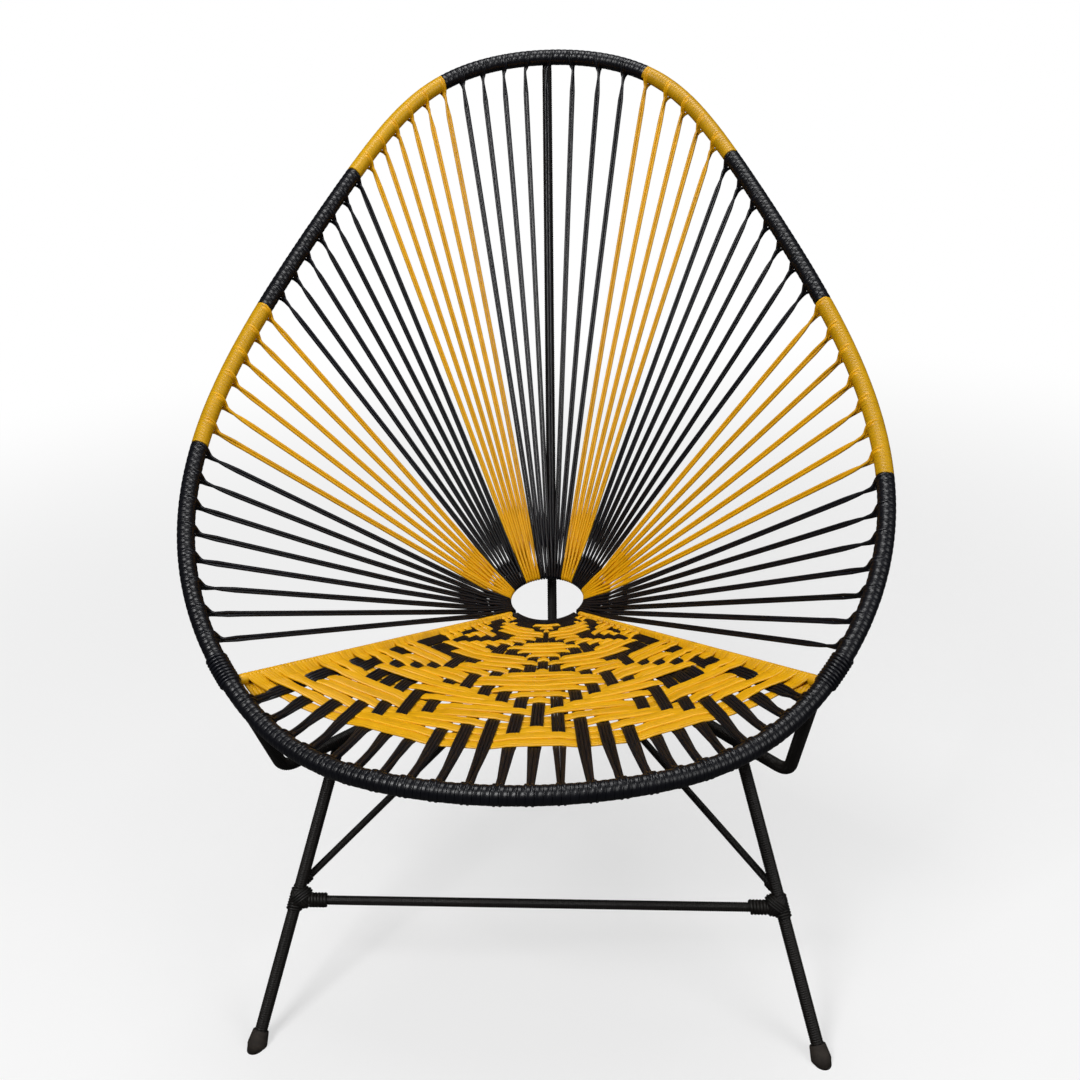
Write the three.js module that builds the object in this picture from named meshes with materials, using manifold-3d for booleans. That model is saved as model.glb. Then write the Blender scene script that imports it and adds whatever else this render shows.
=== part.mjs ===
// String lounge chair: an egg-shaped steel rim, corded by hand over a bent-rod tripod.
// Lengths are millimetres and angles are degrees. +Z is up, the sitter faces -Y.
// Places are measured from the front of the rim: y runs back from it, x to the photograph's right.
import * as THREE from 'three';
import { mergeVertices } from 'three/addons/utils/BufferGeometryUtils.js';
import Module from 'manifold-3d';

const wasm = await Module();
wasm.setup();

// Cord and fits
const cordDiameter = 3.3;
const strandDiameter = 2.9;
const fitGap = 0.3;
const cutOverrun = 40;

// Rim
const rimRodDiameter = 12;
const rimHalfWidth = 332;
const eggShares = [1, 0.19, 0.04, -0.03];
const rimSlantLength = 969;
const slantShares = [0.5, 0.04, 0, 0.0025];
const rimFrontHeight = 371;
const rimFrontSlope = -7.4;
const rimBackSlope = 38.4;
const rimFrontFlat = 27;
const rimBendRadius = 160;
const rimStationCount = 60;
const rimSideCount = 8;

// Ring round the hole, hung in the cords
const ringRadius = 48.8;
const ringRodDiameter = 5;
const ringBehindFront = 459;
const ringBelowRim = 50;
const ringTilt = 10;

// Woven seat
const warpCount = 23;
const warpPitch = 26.8;
const warpSlotAngle = 4.04;
const weaveDrift = 17;
const weaveDriftAngle = 3.5;
const warpWidth = 12;
const warpTipWidth = 7;
const warpFillShare = 0.8;
const layerThickness = 2.8;
const layerGap = 0.9;
const seatStepCount = 3;
const weftRowCount = 25;
const weftRowGrowthShare = 0.36;
const weftFrontShare = 0.782;
const weftCornerShare = 0.972;
const weftCornerPower = 5;
const weftEdgeWarpCount = 11.5;
const latticeWarpCount = 5;
const crossingRows = [-2, 4, 10.4, 19.7, 31];
const crossingReaches = [1, 1.2, 1.2, 2.2, 2];

// Cords along the two sides of the seat
const edgeCordDiameter = 5;
const edgeWrapWidth = 12.6;
const edgeWrapThickness = 2.2;
const edgeWrapLoopCount = 22;
const edgeWrapEnd = 16;

// Back cords, counted away from the seat on each side
const firstKnotGap = 50;
const rightKnotCount = 29;
const leftKnotCount = 31;
const knotCrowdingShare = 0.07;
const knotSpread = 3.8;
const backSlotAngle = 4.15;
const loopCornerAngles = [90, 150, 210, 270];
const rightSectionCounts = [7, 7, 7, 5];
const leftSectionCounts = [8, 6, 7, 6];

// Lashings
const lashingPitch = 4.8;
const sideLashingLoopCount = 7;
const barLashingLoopCount = 5;
const barLashingGap = 9;

// Base
const legDiameter = 12.7;
const spineDiameter = 11.5;
const crossbarDiameter = 9.5;
const braceDiameter = 7.5;
const hubBehindFront = 514;
const hubBelowRim = 128;
const armTopAlongRim = 310;
const armBendHalfWidth = 259;
const armBendBehindFront = 190;
const armBendBelowRim = 107;
const armBendRadius = 26;
const armBendStepCount = 6;
const legAlongArmShare = 0.18;
const frontFootHalfSpacing = 290;
const frontFootBehindFront = 68;
const rearFootBehindFront = 674;
const crossbarDownLegShare = 0.53;
const braceAboveCrossbar = 16;
const braceBelowHub = 12;
const spineBehindRim = 8;

// Rubber feet
const footHeight = 26;
const footTopDiameter = 17.5;
const footBottomDiameter = 22;
const footSole = 5;

const wrappedRimDiameter = rimRodDiameter + 2 * cordDiameter;
const ringHeight = rimFrontHeight - ringBelowRim;
const hubHeight = rimFrontHeight - hubBelowRim;
const armBendHeight = rimFrontHeight - armBendBelowRim;
const edgeWarp = (warpCount + 1) / 2;
const edgeAlongRim = edgeWarp * warpPitch;
const radians = THREE.MathUtils.degToRad;
const zAxis = new THREE.Vector3(0, 0, 1);
const sides = [[-1, 'left'], [1, 'right']];

// Points and directions
const at = (x, y, z) => new THREE.Vector3(x, y, z);
const mix = (a, b, share) => a.clone().lerp(b, share);
const direction = (a, b) => b.clone().sub(a).normalize();
const mirrored = (p) => at(-p.x, p.y, p.z);
const along = (p, way, distance) => p.clone().addScaledVector(way, distance);

// Rim centre line, as an egg outline laid on a bent side profile
function rimProfile(slant) {
  const a = radians(rimFrontSlope);
  const b = radians(rimBackSlope);
  const flat = Math.min(slant, rimFrontFlat);
  const turned = Math.min(Math.max((slant - rimFrontFlat) / rimBendRadius, 0), b - a);
  const straight = Math.max(slant - rimFrontFlat - rimBendRadius * (b - a), 0);
  const y = flat * Math.cos(a) + rimBendRadius * (Math.sin(a + turned) - Math.sin(a));
  const z = flat * Math.sin(a) - rimBendRadius * (Math.cos(a + turned) - Math.cos(a));
  return [y + straight * Math.cos(b), rimFrontHeight + z + straight * Math.sin(b)];
}

function rimOutline(turn) {
  const width = (share, i) => share * Math.sin((i + 1) * turn);
  const slant = (share, i) => share * (1 - Math.cos((i + 1) * turn));
  const sum = (shares, part) => shares.reduce((total, share, i) => total + part(share, i), 0);
  const [y, z] = rimProfile(rimSlantLength * sum(slantShares, slant));
  return at(rimHalfWidth * sum(eggShares, width), y, z);
}

const rimSampleCount = 2400;
const sampleTurn = (2 * Math.PI) / rimSampleCount;
const rimFine = Array.from({ length: rimSampleCount + 1 }, (_, i) => rimOutline(sampleTurn * i));
const rimReached = [0];
for (let i = 1; i <= rimSampleCount; i += 1) {
  rimReached.push(rimReached[i - 1] + rimFine[i].distanceTo(rimFine[i - 1]));
}
const rimLength = rimReached[rimSampleCount];
const stationLength = rimLength / rimStationCount;

function rimCurve(distance) {
  const reached = ((distance % rimLength) + rimLength) % rimLength;
  const i = Math.max(rimReached.findIndex((value) => value > reached), 1);
  const share = (reached - rimReached[i - 1]) / (rimReached[i] - rimReached[i - 1]);
  return mix(rimFine[i - 1], rimFine[i], share);
}

// The rim is drawn as straight lengths between stations, and all that sits on it shares them
const rimCorners = Array.from({ length: rimStationCount }, (_, i) => rimCurve(i * stationLength));

function rimPoint(distance) {
  const place = distance / stationLength;
  const i = Math.floor(place);
  const corner = (n) => rimCorners[((n % rimStationCount) + rimStationCount) % rimStationCount];
  return mix(corner(i), corner(i + 1), place - i);
}

function rimStretch(from, to) {
  const points = [rimPoint(from)];
  const first = Math.floor(from / stationLength) + 1;
  for (let i = first; i * stationLength < to; i += 1) {
    const clear = Math.min(i * stationLength - from, to - i * stationLength);
    if (clear > fitGap) points.push(rimPoint(i * stationLength));
  }
  points.push(rimPoint(to));
  return points;
}

// A route that holds its corners, with its section turned to a given way, or held to it
class Route extends THREE.Curve {
  constructor(points, sectionWay, held) {
    super();
    this.points = points;
    this.sectionWay = sectionWay;
    this.held = held;
  }

  getPoint(t, target = new THREE.Vector3()) {
    const place = t * (this.points.length - 1);
    const i = Math.min(Math.floor(place), this.points.length - 2);
    return target.lerpVectors(this.points[i], this.points[i + 1], place - i);
  }

  getPointAt(u, target) {
    const last = this.points.length - 1;
    return this.getPoint(Math.round(u * last) / last, target);
  }

  getTangentAt(u, target = new THREE.Vector3()) {
    const last = this.points.length - 1;
    const i = Math.round(u * last);
    const before = direction(this.points[Math.max(i - 1, 0)], this.points[Math.max(i, 1)]);
    const after = direction(this.points[Math.min(i, last - 1)], this.points[Math.min(i + 1, last)]);
    return target.copy(before).add(after).normalize();
  }

  computeFrenetFrames(segments, closed) {
    if (!this.sectionWay) return super.computeFrenetFrames(segments, closed);
    const frames = { tangents: [], normals: [], binormals: [] };
    for (let i = 0; i <= segments; i += 1) {
      const tangent = this.getTangentAt(i / segments);
      const normal = tangent.clone().cross(this.sectionWay).normalize();
      const across = tangent.clone().cross(normal).normalize();
      if (this.held) across.projectOnVector(this.sectionWay).normalize();
      frames.tangents.push(tangent);
      frames.normals.push(normal);
      frames.binormals.push(across);
    }
    return frames;
  }
}

function polygon(sides, radius) {
  const corner = (_, i) => {
    const turn = (2 * Math.PI * (i + 0.5)) / sides;
    return new THREE.Vector2(radius * Math.cos(turn), radius * Math.sin(turn));
  };
  return Array.from({ length: sides }, corner);
}

function sweep(points, section, sectionWay, held) {
  const route = new Route(points, sectionWay, held);
  return new THREE.ExtrudeGeometry(section, {
    steps: points.length - 1,
    extrudePath: route,
    bevelEnabled: false,
    curveSegments: 1,
  });
}

const tube = (points, diameter, sides, sectionWay) =>
  sweep(points, new THREE.Shape(polygon(sides, diameter / 2)), sectionWay);

function sleeve(points, outer, inner, sides, sectionWay) {
  const section = new THREE.Shape(polygon(sides, outer / 2));
  section.holes.push(new THREE.Path(polygon(sides, inner / 2)));
  return sweep(points, section, sectionWay);
}

function band(points, width, thickness, sectionWay) {
  const section = new THREE.Shape([
    new THREE.Vector2(-thickness / 2, -width / 2),
    new THREE.Vector2(thickness / 2, -width / 2),
    new THREE.Vector2(thickness / 2, width / 2),
    new THREE.Vector2(-thickness / 2, width / 2),
  ]);
  return sweep(points, section, sectionWay, true);
}

// Cutting and joining
function solid(geometry) {
  const bare = geometry.clone();
  bare.deleteAttribute('normal');
  bare.deleteAttribute('uv');
  const merged = mergeVertices(bare);
  return new wasm.Manifold(
    new wasm.Mesh({
      numProp: 3,
      vertProperties: new Float32Array(merged.attributes.position.array),
      triVerts: new Uint32Array(merged.index.array),
    }),
  );
}

function geometryOf(body) {
  const mesh = body.getMesh();
  const geometry = new THREE.BufferGeometry();
  geometry.setAttribute('position', new THREE.BufferAttribute(new Float32Array(mesh.vertProperties), 3));
  geometry.setIndex(new THREE.BufferAttribute(new Uint32Array(mesh.triVerts), 1));
  geometry.computeVertexNormals();
  return geometry;
}

function cut(geometry, ...tools) {
  return geometryOf(tools.reduce((body, tool) => body.subtract(solid(tool)), solid(geometry)));
}

// Materials
const finishes = {
  blackCord: { color: 0x1a1b21, roughness: 0.42, metalness: 0 },
  yellowCord: { color: 0xe2a414, roughness: 0.4, metalness: 0 },
  blackSteel: { color: 0x1c1712, roughness: 0.5, metalness: 0.3 },
  rubber: { color: 0x48413a, roughness: 0.85, metalness: 0 },
};

const chair = new THREE.Group();

function piece(name, geometry, finish) {
  const mesh = new THREE.Mesh(geometry, new THREE.MeshStandardMaterial(finishes[finish]));
  mesh.name = name;
  chair.add(mesh);
}

// Rim rod, bent round with its two ends butted at the top
const rimTop = rimLength / 2;
const rimRodPoints = rimStretch(rimTop + fitGap / 2, rimTop + rimLength - fitGap / 2);
piece('rim_rod', tube(rimRodPoints, rimRodDiameter, rimSideCount, zAxis), 'blackSteel');

// Space of the wrapped rim, with the gap round it, as a tool that cuts what meets it
const wrappedRim = (from, to) =>
  tube(rimStretch(from, to), wrappedRimDiameter + 2 * fitGap, rimSideCount, zAxis);
const rimNear = (distance) => wrappedRim(distance - stationLength, distance + stationLength);

// Knots, at distances along the rim from its front
const firstKnot = edgeAlongRim + firstKnotGap;

function knotAt(side, number) {
  const knots = side > 0 ? rightKnotCount : leftKnotCount;
  const share = number / knots;
  const crowding = side * knotCrowdingShare * share * (share - 1);
  return side * (firstKnot + (rimTop - firstKnot) * (share + crowding));
}

// All back knots in one row, from the right of the seat round the top to its left
const knots = [];
for (let i = 0; i < rightKnotCount; i += 1) knots.push(knotAt(1, i));
for (let i = leftKnotCount; i >= 0; i -= 1) knots.push(rimLength + knotAt(-1, i));

const rightNames = rightSectionCounts.map((_, i) => 'right_' + (i + 1));
const leftNames = leftSectionCounts.map((_, i) => 'left_' + (i + 1)).reverse();
const topCount = knots.length - [...rightSectionCounts, ...leftSectionCounts].reduce((a, b) => a + b, 0);
const sectionCounts = [...rightSectionCounts, topCount, ...[...leftSectionCounts].reverse()];
const sectionNames = [...rightNames, 'top', ...leftNames];
const sectionFinish = (i) => (i % 2 ? 'yellowCord' : 'blackCord');

// Cord wound on the rim, a sleeve for each colour, and three for the long black front
const lashingStart = edgeAlongRim + edgeCordDiameter / 2 + cordDiameter;
const lashingLength = sideLashingLoopCount * lashingPitch;
const lashingMiddle = lashingStart + lashingLength / 2;
const wrapInner = (rimRodDiameter + 2 * fitGap) / Math.cos(Math.PI / rimSideCount);

function rimWrap(name, from, to, finish) {
  const points = rimStretch(from + fitGap / 2, to - fitGap / 2);
  piece('rim_wrap_' + name, sleeve(points, wrappedRimDiameter, wrapInner, rimSideCount, zAxis), finish);
}

let knotsPassed = 0;
let wrapStart = lashingMiddle;
sectionCounts.forEach((count, i) => {
  knotsPassed += count;
  const last = i === sectionCounts.length - 1;
  const wrapEnd = last ? rimLength - lashingMiddle : (knots[knotsPassed - 1] + knots[knotsPassed]) / 2;
  rimWrap(sectionNames[i], wrapStart, wrapEnd, sectionFinish(i));
  wrapStart = wrapEnd;
});
rimWrap('front', -lashingMiddle, lashingMiddle, 'blackCord');

// Ring, with slots counted as angles from its front
function ringPoint(angle, radius, lift = 0) {
  const turn = radians(angle);
  const tilt = radians(ringTilt);
  const back = -radius * Math.cos(turn);
  return at(
    radius * Math.sin(turn),
    ringBehindFront + back * Math.cos(tilt) - lift * Math.sin(tilt),
    ringHeight + back * Math.sin(tilt) + lift * Math.cos(tilt),
  );
}

const ring = new THREE.TorusGeometry(ringRadius, ringRodDiameter / 2, 6, 36);
ring.rotateX(radians(ringTilt));
ring.translate(0, ringBehindFront, ringHeight);
piece('hole_ring', ring, 'blackSteel');

// Back cords: each colour is one unbroken cord, down to the ring, round it and up again
const loopClearance = (ringRodDiameter + strandDiameter) / 2 + fitGap;
const loopRadius = loopClearance / Math.cos(Math.PI / 6);
const rimStandOff = wrappedRimDiameter / 2 + fitGap + strandDiameter / 2;
const firstSlot = 180 - (backSlotAngle * (knots.length - 1)) / 2;

function rimEnd(distance, target) {
  const centre = rimPoint(distance);
  const tangent = direction(rimPoint(distance - knotSpread), rimPoint(distance + knotSpread));
  const inward = target.clone().sub(centre);
  inward.addScaledVector(tangent, -inward.dot(tangent)).normalize();
  return along(centre, inward, rimStandOff);
}

function backLoop(distance, slot) {
  const centre = ringPoint(slot, ringRadius);
  const outward = direction(ringPoint(slot, 0), centre);
  const upward = direction(centre, ringPoint(slot, ringRadius, ringRadius));
  const goesTo = direction(centre, rimPoint(distance));
  const rise = Math.atan2(goesTo.dot(upward), goesTo.dot(outward));
  const corners = loopCornerAngles.map((angle) => {
    const turn = rise + radians(angle);
    const offset = outward.clone().multiplyScalar(Math.cos(turn)).addScaledVector(upward, Math.sin(turn));
    return along(centre, offset, loopRadius);
  });
  const down = rimEnd(distance - knotSpread / 2, centre);
  const up = rimEnd(distance + knotSpread / 2, centre);
  return [down, ...corners, up];
}

let knotNumber = 0;
sectionCounts.forEach((count, i) => {
  const route = [];
  for (let n = 0; n < count; n += 1) {
    route.push(...backLoop(knots[knotNumber], firstSlot + knotNumber * backSlotAngle));
    knotNumber += 1;
  }
  piece('back_cord_' + sectionNames[i], tube(route, strandDiameter, 4), sectionFinish(i));
});

// Seat surface: straight from the ring to the rim, with warps counted from the middle
function seatPoint(share, warp, lift = 0) {
  const off = 1 - (warp / edgeWarp) ** 2;
  const start = ringPoint(warpSlotAngle * warp + weaveDriftAngle * off, ringRadius);
  const end = rimPoint(warpPitch * warp + weaveDrift * off);
  return along(mix(start, end, share), zAxis, lift);
}

const seatLength = (warp) => seatPoint(0, warp).distanceTo(seatPoint(1, warp));
const warpSpacing = (share, warp) => seatPoint(share, warp + 0.5).distanceTo(seatPoint(share, warp - 0.5));

// Closed plate between two shares of the seat and two counts of warps
function plate(from, to, left, right, rows, columns, low, high) {
  const positions = [];
  const index = [];
  const put = (row, column, lift) => {
    const share = row / rows;
    const warp = left(share) + ((right(share) - left(share)) * column) / columns;
    positions.push(...seatPoint(from(warp) + (to(warp) - from(warp)) * share, warp, lift).toArray());
  };
  for (const lift of [low, high]) {
    for (let row = 0; row <= rows; row += 1) {
      for (let column = 0; column <= columns; column += 1) put(row, column, lift);
    }
  }
  const bottom = (row, column) => row * (columns + 1) + column;
  const top = (row, column) => (rows + 1) * (columns + 1) + bottom(row, column);
  const face = (a, b, c, d) => index.push(a, b, c, a, c, d);
  for (let row = 0; row < rows; row += 1) {
    for (let column = 0; column < columns; column += 1) {
      const [i, j] = [row + 1, column + 1];
      face(top(row, column), top(i, column), top(i, j), top(row, j));
      face(bottom(row, column), bottom(row, j), bottom(i, j), bottom(i, column));
    }
  }
  for (let row = 0; row < rows; row += 1) {
    face(bottom(row, 0), bottom(row + 1, 0), top(row + 1, 0), top(row, 0));
    face(bottom(row + 1, columns), bottom(row, columns), top(row, columns), top(row + 1, columns));
  }
  for (let column = 0; column < columns; column += 1) {
    face(bottom(0, column + 1), bottom(0, column), top(0, column), top(0, column + 1));
    face(bottom(rows, column), bottom(rows, column + 1), top(rows, column + 1), top(rows, column));
  }
  const geometry = new THREE.BufferGeometry();
  geometry.setAttribute('position', new THREE.Float32BufferAttribute(positions, 3));
  geometry.setIndex(index);
  return geometry;
}

// Rows of weft, from the ring to the curved front edge of the weave
const rowWeight = (row) => row * (1 + (weftRowGrowthShare * (row - 1)) / (2 * (weftRowCount - 1)));
const collarReach = ringRodDiameter / 2 + fitGap + layerThickness;

function weftFront(warp) {
  const corner = Math.abs(warp / edgeWarp) ** weftCornerPower;
  return weftFrontShare + (weftCornerShare - weftFrontShare) * corner;
}

function weftShare(row, warp) {
  const start = (collarReach + fitGap) / seatLength(warp);
  return start + ((weftFront(warp) - start) * rowWeight(row)) / rowWeight(weftRowCount);
}

// Lattice of lozenges: warps lie on top where its lines run
function warpOnTop(row, warp) {
  const middle = row + 0.5;
  const folded = Math.abs(warp) % (2 * latticeWarpCount);
  const side = folded > latticeWarpCount ? 2 * latticeWarpCount - folded : folded;
  for (let i = 0; i < crossingRows.length; i += 1) {
    if (side === 0 && Math.abs(middle - crossingRows[i]) < crossingReaches[i]) return true;
    if (side === 0 || i === crossingRows.length - 1) continue;
    const half = (crossingRows[i] + crossingRows[i + 1]) / 2;
    const share = (side - 1) / (latticeWarpCount - 1);
    const lines = [
      [crossingRows[i] + crossingReaches[i], crossingReaches[i]],
      [crossingRows[i + 1] - crossingReaches[i + 1], crossingReaches[i + 1]],
    ];
    for (const [start, reach] of lines) {
      if (Math.abs(middle - (start + (half - start) * share)) < 0.5 + 0.2 * reach) return true;
    }
  }
  return false;
}

function floatsOf(warp) {
  const floats = [];
  for (let row = 0; row < weftRowCount; row += 1) {
    if (!warpOnTop(row, warp)) continue;
    const last = floats[floats.length - 1];
    if (last && last[1] === row) last[1] = row + 1;
    else floats.push([row, row + 1]);
  }
  return floats;
}

const edgeLine = (side) => [seatPoint(0, side * edgeWarp), seatPoint(1, side * edgeWarp)];
const edgeWrapRadius = edgeCordDiameter / 2 + fitGap + edgeWrapThickness / 2;
const edgeWrapStepCount = 6;
const edgeWrapCorner = edgeWrapRadius / Math.cos(Math.PI / edgeWrapStepCount);
const edgeClear = (edgeWrapCorner + edgeWrapThickness / 2 + fitGap) / Math.cos(Math.PI / 8);

// The weft turns round the edge from where the next warp clears it
const ringSpacing = warpSpacing(0, edgeWarp - 0.5);
const rimSpacing = warpSpacing(1, edgeWarp - 0.5);
const clearSpacing = (edgeClear + cordDiameter / 2) / (1 + warpFillShare / 2);
const edgeWrapFree = (seatLength(edgeWarp) * (clearSpacing - ringSpacing)) / (rimSpacing - ringSpacing);
const edgeWrapStart = edgeWrapFree + edgeWrapWidth;

function edgeTool(side, diameter, from, to) {
  const [start, end] = edgeLine(side);
  const way = direction(start, end);
  return tube([along(start, way, from), along(start, way, to)], diameter, 8, zAxis);
}

const edgeTools = [-1, 1].flatMap((side) => {
  const length = seatLength(edgeWarp);
  const core = (edgeCordDiameter / 2 + fitGap) / Math.cos(Math.PI / 8);
  return [
    edgeTool(side, 2 * core, -cutOverrun, length),
    edgeTool(side, 2 * edgeClear, edgeWrapFree, length - edgeWrapEnd + edgeWrapWidth),
  ];
});

// Black warp cords: flat bundles side by side, hooked round the front of the ring
function warpBundle(warp) {
  const length = seatLength(warp);
  const start = (ringRodDiameter / 2 + fitGap + layerThickness / 2) / length;
  const end = 1 - (wrappedRimDiameter / 2 - layerThickness) / length;
  const shareAt = (share) => start + (end - start) * share;
  const half = (share) => {
    const place = shareAt(share);
    const tip = THREE.MathUtils.smoothstep(place, weftFrontShare, 1);
    const woven = Math.min((warpFillShare * warpSpacing(place, warp)) / 2, warpWidth / 2);
    return (woven + (warpTipWidth / 2 - woven) * tip) / warpSpacing(place, warp);
  };
  return plate(
    () => start,
    () => end,
    (share) => warp - half(share),
    (share) => warp + half(share),
    seatStepCount + 1,
    1,
    -layerThickness / 2,
    layerThickness / 2,
  );
}

const collarStepCount = 12;
const collarArc = Array.from({ length: collarStepCount + 1 }, (_, i) => {
  const warp = -edgeWarp + (2 * edgeWarp * i) / collarStepCount;
  return seatPoint(0, warp);
});
const collarInner = (ringRodDiameter + 2 * fitGap) / Math.cos(Math.PI / 6);
const collar = sleeve(collarArc, 2 * collarReach, collarInner, 6, zAxis);

let warps = solid(collar);
for (let warp = 1 - edgeWarp; warp < edgeWarp; warp += 1) warps = warps.add(solid(warpBundle(warp)));
const rimTool = wrappedRim(-edgeAlongRim - stationLength, edgeAlongRim + stationLength);
for (const tool of [rimTool, ...edgeTools]) warps = warps.subtract(solid(tool));
piece('seat_warps', geometryOf(warps), 'blackCord');

// Yellow weft, as the layer over the warps and the layer under them
function weftLayer(low, high, rows, columns) {
  return plate(
    (warp) => weftShare(0, warp),
    (warp) => weftShare(weftRowCount, warp),
    () => -weftEdgeWarpCount,
    () => weftEdgeWarpCount,
    rows,
    columns,
    low,
    high,
  );
}

const layerLow = layerThickness / 2 + layerGap;
const layerHigh = layerLow + layerThickness;
let upper = solid(weftLayer(layerLow, layerHigh, seatStepCount, warpCount));
for (let warp = 1 - edgeWarp; warp < edgeWarp; warp += 1) {
  for (const [from, to] of floatsOf(warp)) {
    // A float that reaches the front edge of the weave is open there
    const past = to === weftRowCount ? 1 + 1 / weftRowCount : 1;
    const window = plate(
      (w) => weftShare(from, w),
      (w) => weftShare(to, w) * past,
      () => warp - warpFillShare / 2,
      () => warp + warpFillShare / 2,
      1,
      1,
      0,
      layerHigh + layerThickness,
    );
    upper = upper.subtract(solid(window));
  }
}
for (const tool of [...edgeTools, rimTool]) upper = upper.subtract(solid(tool));
piece('seat_weft_upper', geometryOf(upper), 'yellowCord');
const lower = weftLayer(-layerHigh, -layerLow, seatStepCount, warpCount);
piece('seat_weft_lower', cut(lower, ...edgeTools, rimTool), 'yellowCord');

// Least gap of a winding to itself, measured on the points of its route
function leastGap(name, points, stepsPerLoop, thickness) {
  let least = Infinity;
  for (let i = 0; i < points.length; i += 1) {
    for (let j = i + Math.round(stepsPerLoop / 2); j < points.length; j += 1) {
      least = Math.min(least, points[i].distanceTo(points[j]));
    }
  }
  console.log(name + ': least gap to itself ' + (least - thickness).toFixed(2) + ' mm');
}

// Edge cords and the yellow weft turned round them
for (const [side, hand] of sides) {
  const [start, end] = edgeLine(side);
  const way = direction(start, end);
  const length = start.distanceTo(end);
  const ringGap = ringRodDiameter / 2 + fitGap;
  const core = tube([along(start, way, ringGap), end], edgeCordDiameter, 6, zAxis);
  piece('edge_cord_' + hand, cut(core, rimNear(side * edgeAlongRim)), 'blackCord');

  const steps = edgeWrapStepCount;
  const sideways = way.clone().cross(zAxis).normalize();
  const upward = sideways.clone().cross(way).normalize();
  const travel = (length - edgeWrapStart - edgeWrapEnd) / edgeWrapLoopCount;
  const points = [];
  for (let i = 0; i <= edgeWrapLoopCount * steps; i += 1) {
    const turn = (2 * Math.PI * i) / steps;
    const centre = along(start, way, edgeWrapStart + (travel * i) / steps);
    const out = sideways.clone().multiplyScalar(Math.cos(turn) * side);
    points.push(along(centre, out.addScaledVector(upward, Math.sin(turn)), edgeWrapCorner));
  }
  leastGap('edge_wrap_' + hand, points, 2 * steps, edgeWrapWidth);
  piece('edge_wrap_' + hand, band(points, edgeWrapWidth, edgeWrapThickness, way), 'yellowCord');
}

// Round lashing, wound on a straight or curved core, with straight ends
function lashing(name, coreAt, coreRadius, loops) {
  const steps = 10;
  const radius = (coreRadius + fitGap + cordDiameter / 2) / Math.cos(Math.PI / steps);
  const points = [];
  for (let i = 0; i <= loops * steps; i += 1) {
    const turn = (2 * Math.PI * i) / steps;
    const [centre, tangent] = coreAt(i / (loops * steps));
    const sideways = tangent.clone().cross(zAxis).normalize();
    const upward = sideways.clone().cross(tangent);
    const out = sideways.multiplyScalar(Math.cos(turn)).addScaledVector(upward, Math.sin(turn));
    points.push(along(centre, out, radius));
  }
  leastGap(name, points, steps, cordDiameter);
  const last = points.length - 1;
  points.unshift(along(points[0], direction(points[1], points[0]), cordDiameter));
  points.push(along(points[last + 1], direction(points[last], points[last + 1]), cordDiameter));
  piece(name, tube(points, cordDiameter, 5), 'blackCord');
}

for (const [side, hand] of sides) {
  const coreAt = (share) => {
    const distance = side * (lashingStart + lashingLength * share);
    const way = direction(rimPoint(distance - lashingPitch), rimPoint(distance + lashingPitch));
    return [rimPoint(distance), way];
  };
  lashing('rim_lashing_' + hand, coreAt, wrappedRimDiameter / 2, sideLashingLoopCount);
}

// Bent path with its corner rounded
function rounded(from, corner, to, radius, steps) {
  const back = direction(corner, from);
  const on = direction(corner, to);
  const half = Math.acos(back.dot(on)) / 2;
  const reach = radius / Math.tan(half);
  const centre = along(corner, back.clone().add(on).normalize(), radius / Math.sin(half));
  const first = along(corner, back, reach).sub(centre);
  const last = along(corner, on, reach).sub(centre);
  const total = first.angleTo(last);
  const points = [from];
  for (let i = 0; i <= steps; i += 1) {
    const a = (total * i) / steps;
    const blend = first.clone().multiplyScalar(Math.sin(total - a)).addScaledVector(last, Math.sin(a));
    points.push(blend.divideScalar(Math.sin(total)).add(centre));
  }
  points.push(to);
  return points;
}

// Base: two bent arms carry the rim and meet the spine and the rear leg at the hub
const rodSideCount = 10;
const hub = at(0, hubBehindFront, hubHeight);
const rearFoot = at(0, rearFootBehindFront, 0);
const frontFoot = at(frontFootHalfSpacing, frontFootBehindFront, 0);
const armBend = at(armBendHalfWidth, armBendBehindFront, armBendHeight);
const armPath = rounded(rimPoint(armTopAlongRim), armBend, hub, armBendRadius, armBendStepCount);
const legTop = mix(armBend, hub, legAlongArmShare);
const crossing = mix(legTop, frontFoot, crossbarDownLegShare);
const legWay = direction(legTop, frontFoot);
const braceFoot = along(crossing, legWay, -braceAboveCrossbar);
const rearWay = direction(hub, rearFoot);
const rimTopPoint = rimPoint(rimTop);
const backward = direction(hub, rimTopPoint).cross(at(1, 0, 0));
const spineTop = along(rimTopPoint, backward, spineBehindRim);
const spineWay = direction(hub, spineTop);
const capLift = (way) => footSole / Math.abs(way.z);

const rod = (points, diameter, clearance = 0) => tube(points, diameter + 2 * clearance, rodSideCount);

// Half space on one side of the mid plane, or of the joint between spine and rear leg
function block(centre, normal) {
  const size = rimSlantLength;
  const box = new THREE.BoxGeometry(size, size, size);
  box.translate(0, 0, size / 2);
  box.applyQuaternion(new THREE.Quaternion().setFromUnitVectors(zAxis, normal));
  box.translate(centre.x, centre.y, centre.z);
  return box;
}

const mitre = spineWay.clone().sub(rearWay).normalize();
const spineRod = rod([along(hub, spineWay, -cutOverrun), spineTop], spineDiameter);
const spineEnd = block(along(hub, mitre, fitGap / 2), mitre.clone().negate());
piece('spine_rod', cut(spineRod, rimNear(rimTop), spineEnd), 'blackSteel');

const legFoot = (foot, way) => along(foot, way, -capLift(way));
const rearRod = rod([along(hub, rearWay, -cutOverrun), legFoot(rearFoot, rearWay)], legDiameter);
piece('rear_leg', cut(rearRod, block(along(hub, mitre, -fitGap / 2), mitre)), 'blackSteel');

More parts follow.
